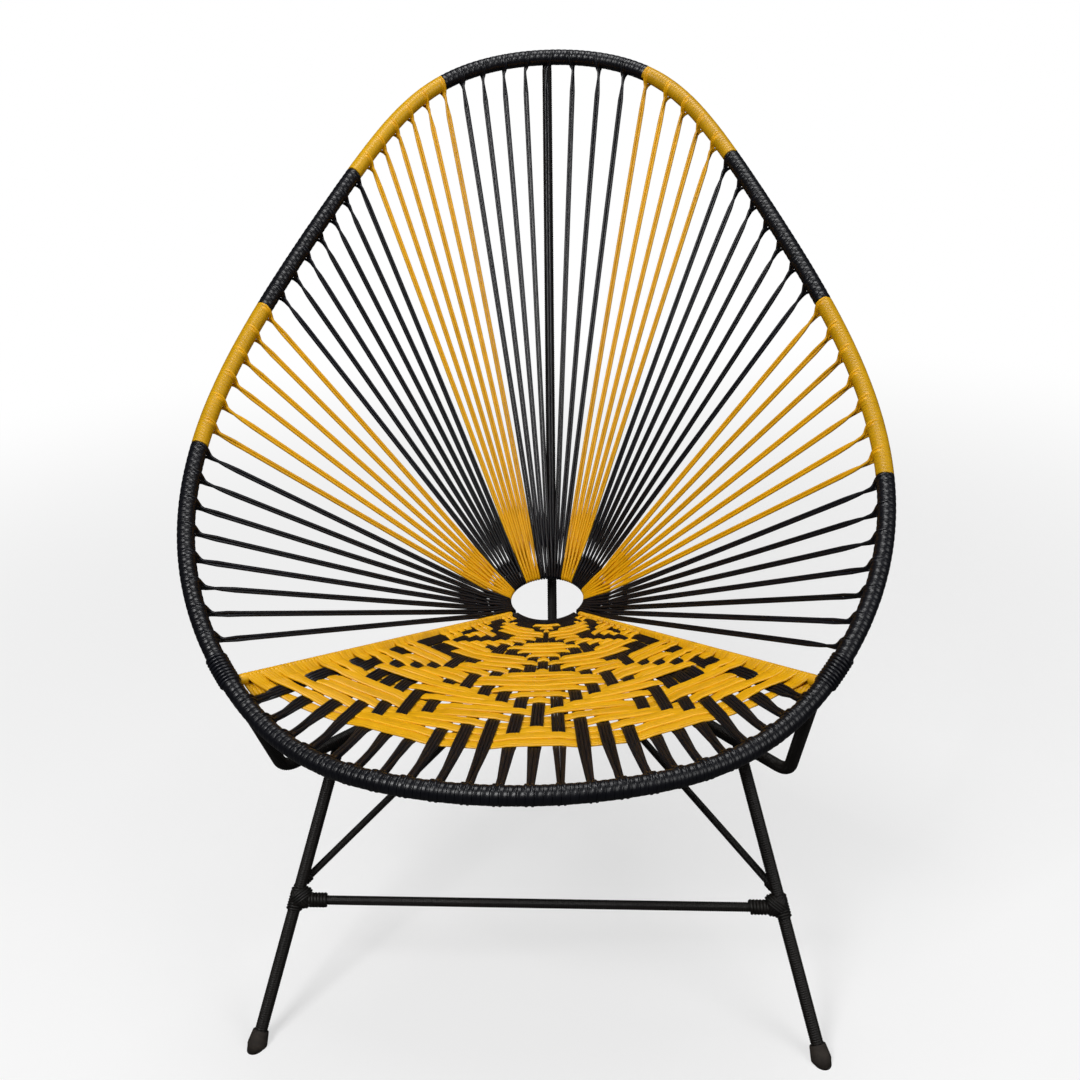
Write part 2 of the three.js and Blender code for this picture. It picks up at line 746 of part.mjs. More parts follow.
const hubTools = [
  rod([along(hub, spineWay, -spineDiameter), along(hub, spineWay, cutOverrun)], spineDiameter, fitGap),
  rod([along(hub, rearWay, -spineDiameter), along(hub, rearWay, 2 * cutOverrun)], legDiameter, fitGap),
];

for (const [side, hand] of sides) {
  const place = (p) => (side > 0 ? p.clone() : mirrored(p));
  const arm = armPath.map(place);
  const across = at(side, 0, 0);
  const wrongSide = block(along(hub, across, fitGap / 2), across.clone().negate());
  const armTools = [rimNear(side * armTopAlongRim), ...hubTools, wrongSide];
  piece('seat_arm_' + hand, cut(rod(arm, legDiameter), ...armTools), 'blackSteel');

  const armTool = rod(arm.slice(-2), legDiameter, fitGap);
  const foot = place(frontFoot);
  const top = place(legTop);
  const way = direction(top, foot);
  const leg = rod([top, legFoot(foot, way)], legDiameter);
  piece('front_leg_' + hand, cut(leg, armTool), 'blackSteel');

  const legTool = rod([top, foot], legDiameter, fitGap);
  const braceTop = along(hub, rearWay, braceBelowHub);
  const brace = rod([place(braceFoot), braceTop], braceDiameter);
  piece('brace_' + hand, cut(brace, legTool, armTool, ...hubTools, wrongSide), 'blackSteel');
}

const legTools = [-1, 1].map((side) => {
  const place = (p) => (side > 0 ? p.clone() : mirrored(p));
  return rod([place(legTop), place(frontFoot)], legDiameter, fitGap);
});
const crossbar = rod([mirrored(crossing), crossing], crossbarDiameter);
piece('crossbar', cut(crossbar, ...legTools), 'blackSteel');

for (const [side, hand] of sides) {
  const from = crossing.x - legDiameter / 2 - barLashingGap;
  const coreAt = (share) => {
    const x = side * (from - barLashingLoopCount * lashingPitch * share);
    return [at(x, crossing.y, crossing.z), at(-side, 0, 0)];
  };
  lashing('crossbar_lashing_' + hand, coreAt, crossbarDiameter / 2, barLashingLoopCount);
}

// Rubber feet, flared caps cut flat on the floor
function footCap(foot, way) {
  const bore = legDiameter / 2 + fitGap;
  const sole = capLift(way) - fitGap;
  const profile = [
    [0, -footHeight],
    [footBottomDiameter / 2, -footHeight],
    [footBottomDiameter / 2, footSole],
    [footTopDiameter / 2, footHeight],
    [bore, footHeight],
    [bore, sole],
    [0, sole],
  ].map(([x, y]) => new THREE.Vector2(x, y));
  const cap = new THREE.LatheGeometry(profile, 16);
  cap.applyQuaternion(new THREE.Quaternion().setFromUnitVectors(at(0, 1, 0), way.clone().negate()));
  cap.translate(foot.x, foot.y, foot.z);
  return cut(cap, block(at(foot.x, foot.y, 0), zAxis.clone().negate()));
}

piece('foot_rear', footCap(rearFoot, rearWay), 'rubber');
for (const [side, hand] of sides) {
  const place = (p) => (side > 0 ? p.clone() : mirrored(p));
  const foot = place(frontFoot);
  piece('foot_front_' + hand, footCap(foot, direction(place(legTop), foot)), 'rubber');
}

// The origin is on the floor, under the middle of the chair
const bounds = new THREE.Box3().setFromObject(chair);
chair.position.y = -(bounds.min.y + bounds.max.y) / 2;

export default chair;
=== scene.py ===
import math
import bpy
import bmesh
import numpy as np
from mathutils import Matrix, Vector


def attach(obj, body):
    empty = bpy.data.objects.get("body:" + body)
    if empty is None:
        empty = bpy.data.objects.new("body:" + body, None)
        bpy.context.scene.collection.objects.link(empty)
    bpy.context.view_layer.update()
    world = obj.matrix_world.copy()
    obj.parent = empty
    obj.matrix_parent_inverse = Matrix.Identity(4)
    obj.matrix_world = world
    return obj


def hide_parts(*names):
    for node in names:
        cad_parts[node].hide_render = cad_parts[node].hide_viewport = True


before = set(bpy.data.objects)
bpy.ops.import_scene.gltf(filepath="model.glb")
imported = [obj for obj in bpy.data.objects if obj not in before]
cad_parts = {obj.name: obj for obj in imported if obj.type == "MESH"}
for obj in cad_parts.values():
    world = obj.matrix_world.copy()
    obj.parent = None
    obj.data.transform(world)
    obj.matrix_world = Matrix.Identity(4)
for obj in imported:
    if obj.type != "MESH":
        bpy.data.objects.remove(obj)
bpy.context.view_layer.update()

mm = 0.001
hands = ((-1, "left"), (1, "right"))


def addObject(name, data):
    obj = bpy.data.objects.new(name, data)
    bpy.context.scene.collection.objects.link(obj)
    return obj


# the camera that took the photograph, in metres and degrees
camera = {
    "place": (0.1143, -1.2620, 1.0097),
    "pitch": 24.65,  # degrees below the horizon
    "yaw": 5.16,   # turned to the left of straight ahead
    "roll": -2.57,
    "lens": 41.65, "sensor": 36.0, "near": 0.05, "far": 60.0,
}


def makeCamera():
    pitch, yaw, roll = (math.radians(camera[k]) for k in ("pitch", "yaw", "roll"))
    ahead = Vector((-math.sin(yaw) * math.cos(pitch), math.cos(yaw) * math.cos(pitch),
                    -math.sin(pitch)))
    right = Vector((math.cos(yaw), math.sin(yaw), 0))
    up = right.cross(ahead)
    tiltedRight = right * math.cos(roll) + up * math.sin(roll)
    tiltedUp = up * math.cos(roll) - right * math.sin(roll)
    data = bpy.data.cameras.new("photoCamera")
    data.lens, data.sensor_width = camera["lens"], camera["sensor"]
    data.clip_start, data.clip_end = camera["near"], camera["far"]
    obj = addObject("photoCamera", data)
    turn = Matrix((tiltedRight, tiltedUp, -ahead)).transposed().to_4x4()
    obj.matrix_world = Matrix.Translation(camera["place"]) @ turn
    bpy.context.scene.camera = obj


makeCamera()
print("camera set")


# colours are sRGB hex, turned to linear here
def linear(code):
    parts = [int(code[i:i + 2], 16) / 255 for i in (1, 3, 5)]
    return tuple(c / 12.92 if c <= 0.04045 else ((c + 0.055) / 1.055) ** 2.4 for c in parts) + (1.0,)


def addNode(tree, kind, values=None, links=None, **settings):
    node = tree.nodes.new("ShaderNode" + kind)
    for key, value in settings.items():
        setattr(node, key, value)
    for key, value in (values or {}).items():
        node.inputs[key].default_value = value
    for key, source in (links or {}).items():
        tree.links.new(source, node.inputs[key])
    return node


def newMaterial(name):
    material = bpy.data.materials.new(name)
    material.use_nodes = True
    material.node_tree.nodes.clear()
    return material, material.node_tree


def noise(tree, place, scale, detail, roughness=0.5):
    values = {"Scale": scale, "Detail": detail, "Roughness": roughness}
    return addNode(tree, "TexNoise", values, {"Vector": place}).outputs["Fac"]


def colourRamp(tree, source, stops, colours):
    node = addNode(tree, "ValToRGB", None, {"Fac": source})
    elements = node.color_ramp.elements
    while len(elements) < len(stops):
        elements.new(0.5)
    for element, stop, colour in zip(elements, stops, colours):
        element.position = stop
        element.color = linear(colour)
    return node.outputs["Color"]


def roughened(tree, source, low, high):
    node = addNode(tree, "MapRange", {"To Min": low, "To Max": high}, {"Value": source})
    return node.outputs["Result"]


# the shader over a colour and the bumps of a height, joined to the output
def coat(tree, colour, height, look, roughness=None):
    bumps = addNode(tree, "Bump", look["bump"], {"Height": height})
    links = {"Base Color": colour, "Normal": bumps.outputs["Normal"]}
    if roughness is not None:
        links["Roughness"] = roughness
    shader = addNode(tree, "BsdfPrincipled", look["shader"], links)
    addNode(tree, "OutputMaterial", None, {"Surface": shader.outputs["BSDF"]})


# extruded PVC cord: smooth and semi-gloss, with fine die lines along it, and each length its own shade
pvcLook = {
    "tones": (0.1, 0.42),               # from the darkest length to the lightest
    "blotch": (65.0, 3.0, 0.6),         # about 15 mm long, where the cord was gripped and dusted
    "blotchShare": 0.42, "stops": (0.12, 0.5, 0.9),
    "dieLines": (60.0, 14.0, 1.0),      # about 14 round the cord, drawn long in its direction
    "dieNoise": (1.0, 2.0), "bump": {"Strength": 0.03, "Distance": 0.0002},
    "roughness": (-0.07, 0.1), "shader": {"IOR": 1.5, "Specular IOR Level": 0.42},
}


def pvcCord(name, colours, roughness):
    material, tree = newMaterial(name)
    place = addNode(tree, "TexCoord").outputs["Object"]
    tone = addNode(tree, "Attribute", attribute_name="tone").outputs["Fac"]
    blotch = noise(tree, place, *pvcLook["blotch"])
    shade = addNode(tree, "Math", {1: pvcLook["blotchShare"]}, {0: blotch, 2: tone},
                    operation="MULTIPLY_ADD")
    colour = colourRamp(tree, shade.outputs["Value"], pvcLook["stops"], colours)
    uv = addNode(tree, "UVMap", uv_map="cordMap").outputs["UV"]
    drawn = addNode(tree, "Mapping", {"Scale": pvcLook["dieLines"]}, {"Vector": uv})
    lines = noise(tree, drawn.outputs["Vector"], *pvcLook["dieNoise"])
    low, high = pvcLook["roughness"]
    coat(tree, colour, lines, pvcLook, roughened(tree, blotch, roughness + low, roughness + high))
    return material


# satin enamel on steel rod: brown-black, a little orange peel, rubbed paler here and there
enamelLook = {
    "dust": (38.0, 5.0, 0.65), "stops": (0.3, 0.55, 0.8), "peel": (900.0, 2.0),
    "bump": {"Strength": 0.2, "Distance": 0.0002}, "roughness": (0.45, 0.7), "shader": {"IOR": 1.5},
}


def enamelledSteel(name, colours):
    material, tree = newMaterial(name)
    place = addNode(tree, "TexCoord").outputs["Object"]
    dust = noise(tree, place, *enamelLook["dust"])
    colour = colourRamp(tree, dust, enamelLook["stops"], colours)
    peel = noise(tree, place, *enamelLook["peel"])
    coat(tree, colour, peel, enamelLook, roughened(tree, dust, *enamelLook["roughness"]))
    return material


# moulded rubber: matt grey-brown, scuffed pale here and there
rubberLook = {
    "scuff": (120.0, 6.0, 0.7), "stops": (0.3, 0.5, 0.75),
    "bump": {"Strength": 0.35, "Distance": 0.0004}, "shader": {"Roughness": 0.82, "IOR": 1.52},
}


def mouldedRubber(name, colours):
    material, tree = newMaterial(name)
    place = addNode(tree, "TexCoord").outputs["Object"]
    scuff = noise(tree, place, *rubberLook["scuff"])
    coat(tree, colourRamp(tree, scuff, rubberLook["stops"], colours), scuff, rubberLook)
    return material


blackPvc = pvcCord("blackPvcCord", ("#040508", "#0a0b12", "#14161f"), 0.33)
yellowPvc = pvcCord("yellowPvcCord", ("#c48c00", "#e6a903", "#f2b70a"), 0.38)
# the same cord on the rim, a shade darker and greener: partly as it is stretched and handled more, partly
# painted shade for the light falling on the rim at another angle
shadedWoundYellowPvc = pvcCord("shadedWoundYellowPvcCord", ("#ad8000", "#cf9c04", "#dfab0b"), 0.38)
baseCord = pvcCord("thinBlackBaseCord", ("#070504", "#0e0a07", "#19130e"), 0.5)
steelEnamel = enamelledSteel("satinSteelEnamel", ("#080604", "#100c08", "#1f1913"))
footRubber = mouldedRubber("mouldedFootRubber", ("#1d1814", "#29221c", "#3b332b"))
print("materials made")


# the chair's lines, in millimetres and degrees, as in the CAD model
rim = {
    "halfWidth": 332.0, "eggShares": (1, 0.19, 0.04, -0.03),
    "slantLength": 969.0, "slantShares": (0.5, 0.04, 0, 0.0025),
    "frontHeight": 371.0, "frontSlope": -7.4, "frontFlat": 27.0, "bendRadius": 160.0, "backSlope": 38.4,
    "middle": 394.44,  # how far the chair's middle lies behind the rim's front
    "rodRadius": 6.0, "points": 6001, "wayStep": 4.0,
}
ring = {"radius": 48.8, "rodRadius": 2.5, "behindFront": 459.0, "height": 321.0, "tilt": 10.0}
seat = {
    "warps": 23, "warpPitch": 27.5, "warpAngle": 4.04, "drift": 17.0, "driftAngle": 3.5,
    "rows": 28, "rowGrowth": 0.9, "firstRow": 6.1,
    # the front edge of the weave: its share of the seat's length, and more of it off the middle and
    # in the corners
    "front": 0.785, "offMiddle": 0.015, "middleReach": 3, "corner": 0.16, "cornerPower": 5,
}
back = {
    "right": {"gap": 41.0, "knots": 29, "sections": (7, 7, 7, 5)},
    "left": {"gap": 50.0, "knots": 31, "sections": (8, 6, 7, 6)},
    "crowding": 0.07, "slotAngle": 4.15,
}
rows = seat["rows"]
randomDraws = np.random.default_rng(7)


def unit(v):
    v = np.asarray(v, float)
    return v / np.maximum(np.linalg.norm(v, axis=-1, keepdims=True), 1e-12)


# the part of v that is square to a way
def squareTo(v, way):
    return v - way * np.sum(v * way, axis=-1, keepdims=True)


def turned(first, second, angle):
    return first * np.cos(angle)[..., None] + second * np.sin(angle)[..., None]


def ease(x):
    x = np.clip(x, 0, 1)
    return x * x * (3 - 2 * x)


def smoothed(values, weights):
    padded = np.pad(values, len(weights) // 2, mode="edge")
    return np.convolve(padded, np.array(weights) / sum(weights), "valid")


def reachedAlong(points):
    return np.concatenate([[0], np.cumsum(np.linalg.norm(np.diff(points, axis=0), axis=1))])


def placesAt(distance, reached, points):
    return np.stack([np.interp(distance, reached, axis) for axis in points.T], -1)


def rimProfile(slant):
    a, b = math.radians(rim["frontSlope"]), math.radians(rim["backSlope"])
    radius = rim["bendRadius"]
    flat = np.minimum(slant, rim["frontFlat"])
    bent = np.clip((slant - rim["frontFlat"]) / radius, 0, b - a)
    straight = np.maximum(slant - rim["frontFlat"] - radius * (b - a), 0)
    y = flat * math.cos(a) + radius * (np.sin(a + bent) - math.sin(a)) + straight * math.cos(b)
    z = flat * math.sin(a) - radius * (np.cos(a + bent) - math.cos(a)) + straight * math.sin(b)
    return y - rim["middle"], rim["frontHeight"] + z


def rimOutline(turn):
    x = sum(share * np.sin((i + 1) * turn) for i, share in enumerate(rim["eggShares"]))
    slant = sum(share * (1 - np.cos((i + 1) * turn)) for i, share in enumerate(rim["slantShares"]))
    y, z = rimProfile(rim["slantLength"] * slant)
    return np.stack([rim["halfWidth"] * x, y, z], -1)


rimFine = rimOutline(np.linspace(0, 2 * np.pi, rim["points"]))
rimReached = reachedAlong(rimFine)
rimLength = rimReached[-1]
rimTop = rimLength / 2


def rimPoint(distance):
    return placesAt(np.mod(distance, rimLength), rimReached, rimFine)


def rimWay(distance):
    return unit(rimPoint(distance + rim["wayStep"]) - rimPoint(distance - rim["wayStep"]))


def ringPoint(angle, radius, lift=0.0):
    turn, tilt = np.radians(angle), math.radians(ring["tilt"])
    backward = -radius * np.cos(turn)
    y = ring["behindFront"] - rim["middle"] + backward * math.cos(tilt) - lift * math.sin(tilt)
    z = ring["height"] + backward * math.sin(tilt) + lift * math.cos(tilt)
    return np.stack([radius * np.sin(turn), y, z], -1)


edgeWarp = (seat["warps"] + 1) / 2
lastWarp = (seat["warps"] - 1) // 2
warpNumbers = range(-lastWarp, lastWarp + 1)


# where a warp meets the ring, in degrees, and the rim, in millimetres from its front
def warpEnds(warp):
    off = 1 - (warp / edgeWarp) ** 2
    return (seat["warpAngle"] * warp + seat["driftAngle"] * off,
            seat["warpPitch"] * warp + seat["drift"] * off)


def seatPoint(share, warp):
    share, warp = np.broadcast_arrays(np.asarray(share, float), np.asarray(warp, float))
    onRing, onRim = warpEnds(warp)
    start = ringPoint(onRing, ring["radius"])
    return start + (rimPoint(onRim) - start) * share[..., None]


def seatLength(warp):
    return np.linalg.norm(seatPoint(1, warp) - seatPoint(0, warp), axis=-1)


# the ways forward and sideways on the seat
def seatWays(share, line):
    return (seatPoint(share + 0.002, line) - seatPoint(share - 0.002, line),
            seatPoint(share, line + 0.02) - seatPoint(share, line - 0.02))


def seatNormal(share, line):
    forward, sideways = seatWays(share, line)
    n = unit(np.cross(sideways, forward))
    return n * np.sign(n[..., 2:3])


# the line of an edge bundle, and the ways up and outwards from it
def edgeFrame(share, side, step=0.1):
    centre = seatPoint(share, side * edgeWarp)
    outward = unit(centre - seatPoint(share, side * (edgeWarp - step)))
    return centre, seatNormal(share, side * edgeWarp), outward


# the warps bow outwards: by how many warp spacings, for warps 0 to 12, at each share of the seat's length
bowShares = (0.0, 0.1, 0.22, 0.31, 0.5, 0.6, 0.78, 0.95, 1.0)
bowTable = np.array((
    (0,) * 13,
    (0, 0.12, 0.35, 0.65, 1.1, 1.35, 1.45, 1.4, 1.2, 1.0, 0.7, 0.35, 0),
    (0, 0.17, 0.5, 0.95, 1.6, 1.9, 2.0, 1.95, 1.7, 1.35, 1.0, 0.5, 0),
    (0, 0.15, 0.45, 0.87, 1.5, 1.9, 2.0, 1.9, 1.65, 1.35, 1.05, 0.5, 0),
    (0, 0.1, 0.35, 0.7, 1.2, 1.5, 1.65, 1.7, 1.5, 1.35, 1.15, 0.45, 0),
    (0, 0.07, 0.25, 0.42, 0.65, 1.0, 1.25, 1.42, 1.3, 1.1, 1.0, 0.42, 0),
    (0, 0.05, 0.08, 0.13, 0.2, 0.27, 0.4, 0.45, 0.55, 0.52, 0.48, 0.25, 0),
    (0,) * 13,
    (0,) * 13,
))
bowFine = np.linspace(0, 1, 201)
bowSmooth = np.stack([np.interp(bowFine, bowShares, column) for column in bowTable.T], -1)
for _ in range(60):
    bowSmooth[1:-1] = (bowSmooth[:-2] + 2 * bowSmooth[1:-1] + bowSmooth[2:]) / 4


def bowed(warp, share):
    warp, share = np.broadcast_arrays(np.asarray(warp, float), np.asarray(share, float))
    rowEnd, columnEnd = bowSmooth.shape[0] - 1, bowSmooth.shape[1] - 1
    row, column = np.clip(share, 0, 1) * rowEnd, np.clip(np.abs(warp), 0, columnEnd)
    low = np.minimum(row.astype(int), rowEnd - 1)
    left = np.minimum(column.astype(int), columnEnd - 1)
    a, b = row - low, column - left
    bow = ((bowSmooth[low, left] * (1 - b) + bowSmooth[low, left + 1] * b) * (1 - a)
           + (bowSmooth[low + 1, left] * (1 - b) + bowSmooth[low + 1, left + 1] * b) * a)
    return warp + np.sign(warp) * bow


def weftFront(line):
    out = np.minimum(np.abs(line) / edgeWarp, 1)
    offMiddle = seat["offMiddle"] * np.minimum(seat["middleReach"] * out, 1) ** 2
    return seat["front"] + offMiddle + seat["corner"] * out ** seat["cornerPower"]


def rowWeight(row):
    return row * (1 + seat["rowGrowth"] * (row - 1) / (2 * (rows - 1)))


def weftShare(row, line):
    start = seat["firstRow"] / seatLength(line)
    return start + (weftFront(line) - start) * rowWeight(row) / rowWeight(rows)


# the weaver's draft, the same on both sides: for each warp from the middle out, the rows where it
# lies on top, counted from the front edge of the weave
draft = (
    (4, 5, 6, 7, 15, 16, 22, 23, 24, 25),
    (3, 4, 5, 7, 8, 14, 15, 17, 22, 23, 26),
    (1, 2, 3, 4, 8, 9, 14, 18, 22, 26, 27),
    (1, 2, 3, 9, 10, 13, 18, 19, 21, 27),
    (1, 2, 10, 11, 12, 18, 19, 20, 27, 28),
    (5, 6, 10, 15, 19, 22, 23, 27, 28),
    (4, 5, 6, 7, 13, 14, 15, 21, 22, 23, 27, 28),
    (3, 4, 7, 8, 12, 15, 20, 21, 23, 27, 28),
    (1, 2, 3, 7, 8, 11, 15, 16, 19, 20, 23, 24, 28),
    (1, 2, 7, 8, 10, 15, 16, 18, 19, 24, 25, 27, 28),
    (1, 8, 9, 12, 15, 16, 17, 20, 21, 24, 25, 26),
    (1, 4, 5, 8, 12, 15, 16, 17, 25, 26),
)


def warpOnTop(row, warp):
    return rows - row in draft[abs(warp)]


# a cord is a section carried along a path; its cordMap runs along it in metres and once round it
def cordSection(squareness=2.0, sides=8):
    turn = (np.arange(sides) + 0.5) * 2 * np.pi / sides
    corners = np.stack([np.cos(turn), np.sin(turn)], -1)
    return np.sign(corners) * np.abs(corners) ** (2 / squareness)


def carry(points):
    ways = unit(np.gradient(points, axis=0))
    side = np.cross(ways[0], (0, 0, 1))
    if np.linalg.norm(side) < 1e-3:
        side = np.cross(ways[0], (1, 0, 0))
    sides = [unit(side)]
    for way in ways[1:]:
        sides.append(unit(squareTo(sides[-1], way)))
    return np.array(sides), np.cross(ways, sides)


def cord(points, wide, thick=None, side=None, normal=None):
    points = np.asarray(points, float)
    if side is None:
        side, normal = carry(points)
    elif normal is None:
        ways = unit(np.gradient(points, axis=0))
        side = unit(squareTo(side, ways))
        normal = np.cross(ways, side)
    spread = np.ones(len(points))
    return {"points": points, "side": side, "normal": normal,
            "wide": wide * spread, "thick": (wide if thick is None else thick) * spread}


def cordMesh(name, cords, material, node=None, section=cordSection()):
    sides = len(section)
    places, quads, caps, maps, tones = [], [], [], [], []
    first = 0
    for c in cords:
        p, count = c["points"], len(c["points"])
        across, upward = c["wide"][:, None] * section[:, 0], c["thick"][:, None] * section[:, 1]
        places.append((p[:, None] + c["side"][:, None] * across[..., None]
                       + c["normal"][:, None] * upward[..., None]).reshape(-1, 3))
        i, k = np.meshgrid(np.arange(count - 1), np.arange(sides), indexing="ij")
        here, there, nextK = first + i * sides, first + (i + 1) * sides, (k + 1) % sides
        quads.append(np.stack([here + k, here + nextK, there + nextK, there + k], -1).reshape(-1, 4))
        reached = reachedAlong(p) * mm
        u0, u1, v0, v1 = reached[i], reached[i + 1], k / sides, (k + 1) / sides
        maps.append(np.stack([u0, v0, u0, v1, u1, v1, u1, v0], -1).reshape(-1, 2))
        caps.append(first + np.stack([np.arange(sides)[::-1], (count - 1) * sides + np.arange(sides)]))
        tones.append(np.full(count * sides, randomDraws.uniform(*pvcLook["tones"])))
        first += count * sides
    places, quads, caps, maps, tones = map(np.concatenate, (places, quads, caps, maps, tones))
    corners = np.concatenate([quads.ravel(), caps.ravel()])
    starts = np.concatenate([np.arange(len(quads)) * 4, quads.size + np.arange(len(caps)) * sides])
    maps = np.concatenate([maps, np.zeros((caps.size, 2))])
    mesh = bpy.data.meshes.new(name)
    mesh.vertices.add(len(places))
    mesh.vertices.foreach_set("co", (places * mm).astype(np.float32).ravel())
    mesh.loops.add(len(corners))
    mesh.loops.foreach_set("vertex_index", corners.astype(np.int32))
    mesh.polygons.add(len(starts))
    mesh.polygons.foreach_set("loop_start", starts.astype(np.int32))
    mesh.update(calc_edges=True)
    uv = mesh.uv_layers.new(name="cordMap")
    uv.data.foreach_set("uv", maps.astype(np.float32).ravel())
    tone = mesh.attributes.new("tone", "FLOAT", "POINT")
    tone.data.foreach_set("value", tones.astype(np.float32))
    mesh.polygons.foreach_set("use_smooth", np.ones(len(starts), bool))
    mesh.validate()
    mesh.materials.append(material)
    obj = addObject(name, mesh)
    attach(obj, "root")
    if node:
        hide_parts(*([node] if isinstance(node, str) else node))


# a curve through the points, in three steps from each to the next
def smoothPath(points):
    p = np.asarray(points, float)
    padded = np.concatenate([[2 * p[0] - p[1]], p, [2 * p[-1] - p[-2]]])
    t = np.linspace(0, 1, 3, endpoint=False)[:, None]
    out = []
    for i in range(len(p) - 1):
        a, b, c, d = padded[i:i + 4]
        out.append(0.5 * (2 * b + (c - a) * t + (2 * a - 5 * b + 4 * c - d) * t ** 2
                          + (3 * b - a - 3 * c + d) * t ** 3))
    return np.concatenate(out + [p[-1:]])


# where knots and colours fall along the rim
def knotAt(side, number):
    strung = back["right" if side > 0 else "left"]
    firstKnot = edgeWarp * seat["warpPitch"] + strung["gap"]
    share = number / strung["knots"]
    crowded = share + side * back["crowding"] * share * (share - 1)
    return side * (firstKnot + (rimTop - firstKnot) * crowded)


knots = np.array([knotAt(1, i) for i in range(back["right"]["knots"])]
                 + [rimLength + knotAt(-1, i) for i in range(back["left"]["knots"], -1, -1)])
rightCounts, leftCounts = back["right"]["sections"], back["left"]["sections"][::-1]
sectionCounts = [*rightCounts, len(knots) - sum(rightCounts) - sum(leftCounts), *leftCounts]
sectionFirst = np.concatenate([[0], np.cumsum(sectionCounts)])
sectionNames = ["right_%d" % i for i in (1, 2, 3, 4)] + ["top"] + ["left_%d" % i for i in (4, 3, 2, 1)]
blackLook = {"strung": blackPvc, "wound": blackPvc, "slot": "black_cord"}
yellowLook = {"strung": yellowPvc, "wound": shadedWoundYellowPvc, "slot": "yellow_cord"}
sectionLooks = [yellowLook if i % 2 else blackLook for i in range(len(sectionNames))]


# cord wound round the rim, turn against turn
rimWrap = {
    "pitch": 3.7, "stepsPerTurn": 28, "wide": 1.88, "thick": 1.5, "clearance": 0.1,
    # the cord is stretched on so hard that its outside is nearly flat
    "section": ((-1, -1), (1, -1), (1, 0.88), (0.9, 0.97), (0.5, 1), (-0.5, 1), (-0.9, 0.97), (-1, 0.88)),
    "looseness": 0.03, "drift": 0.05, "lashingMiddle": 345.0, "aboveKnot": 9.0,
    # the black turns lean on each other in twos, most where they face the camera
    "lean": {"black_cord": 0.13, "yellow_cord": 0.0}, "leanAt": 0.7,
}


def rimFrames(distance):
    centre, way = rimPoint(distance), rimWay(distance)
    inward = unit(squareTo(ringPoint(0, 0) - centre, way))
    return centre, way, inward, np.cross(inward, way)


def woundRim(name, start, end, look):
    turns = (end - start) / rimWrap["pitch"]
    turn = np.linspace(0, turns, int(turns * rimWrap["stepsPerTurn"]))
    centre, way, inward, front = rimFrames(start + turn * rimWrap["pitch"])
    whole = np.arange(int(turns) + 2)
    loose, drift = (np.interp(turn, whole, randomDraws.normal(0, rimWrap[key], len(whole)))
                    for key in ("looseness", "drift"))
    out = turned(inward, front, 2 * np.pi * turn)
    radius = rim["rodRadius"] + rimWrap["thick"] + rimWrap["clearance"] + loose
    lean = rimWrap["lean"][look["slot"]] * np.cos(np.pi * (turn - rimWrap["leanAt"]))
    wound = cord(centre + way * drift[:, None] + out * radius[:, None], rimWrap["wide"], rimWrap["thick"],
                 side=turned(way, out, lean), normal=turned(out, -way, lean))
    cordMesh("rimCord." + name, [wound], look["wound"], "rim_wrap_" + name,
             np.array(rimWrap["section"], float))


# a section ends just above its highest knot, and the front one at the lashings
lashed, above = rimWrap["lashingMiddle"], rimWrap["aboveKnot"]
stops = [lashed, *(knots[sectionFirst[1:5] - 1] + above), *(knots[sectionFirst[5:9]] - above),
         rimLength - lashed, rimLength + lashed]
for i, name in enumerate(sectionNames + ["front"]):
    woundRim(name, stops[i], stops[i + 1], (sectionLooks + [blackLook])[i])
print("rim wound")


# back cords, in pairs from the rim to the ring and back
backCord = {
    "radius": 1.62, "runPoints": 26, "inFront": (0.0, -60.0, 620.0),  # a place in front of the back
    # round the rim: how far up the rim, from its middle, and the angle from the side of the seat
    "rimTurn": ((1.0, 7.4, 150), (0.97, 8.2, 120), (0.88, 8.7, 85), (0.7, 9.3, 48)),
    # down into the neck: how far up the rim, from its middle, and in front
    "web": ((0.4, 11.5, 2.7), (0.14, 14.2, 1.8)), "slant": 7.8, "rearSlant": 1.3, "neckDepth": 17.0,
    # the hitch lies flat in the web between the two
    "hitch": ((3.6, 7.6, 130), (3.6, 8.3, 90), (3.2, 8.7, 50), (2.4, 9.3, 10)),
    "hitchEnd": ((1.5, 12.0, 0.1), (0.6, 14.6, 0), (0, 17.5, 0)),
    "hitchWide": (2.7, 1.3), "hitchThick": 1.5,
    # a pair lies side by side, turns over below the neck and parts round the ring
    "untwist": 25.0, "gather": 70.0, "gathered": 6.0, "level": 60.0, "part": 26.0, "parted": 4.0,
    "loopRadius": 4.25, "loop": (105, 130, 155, 180, 205, 230, 255),
}


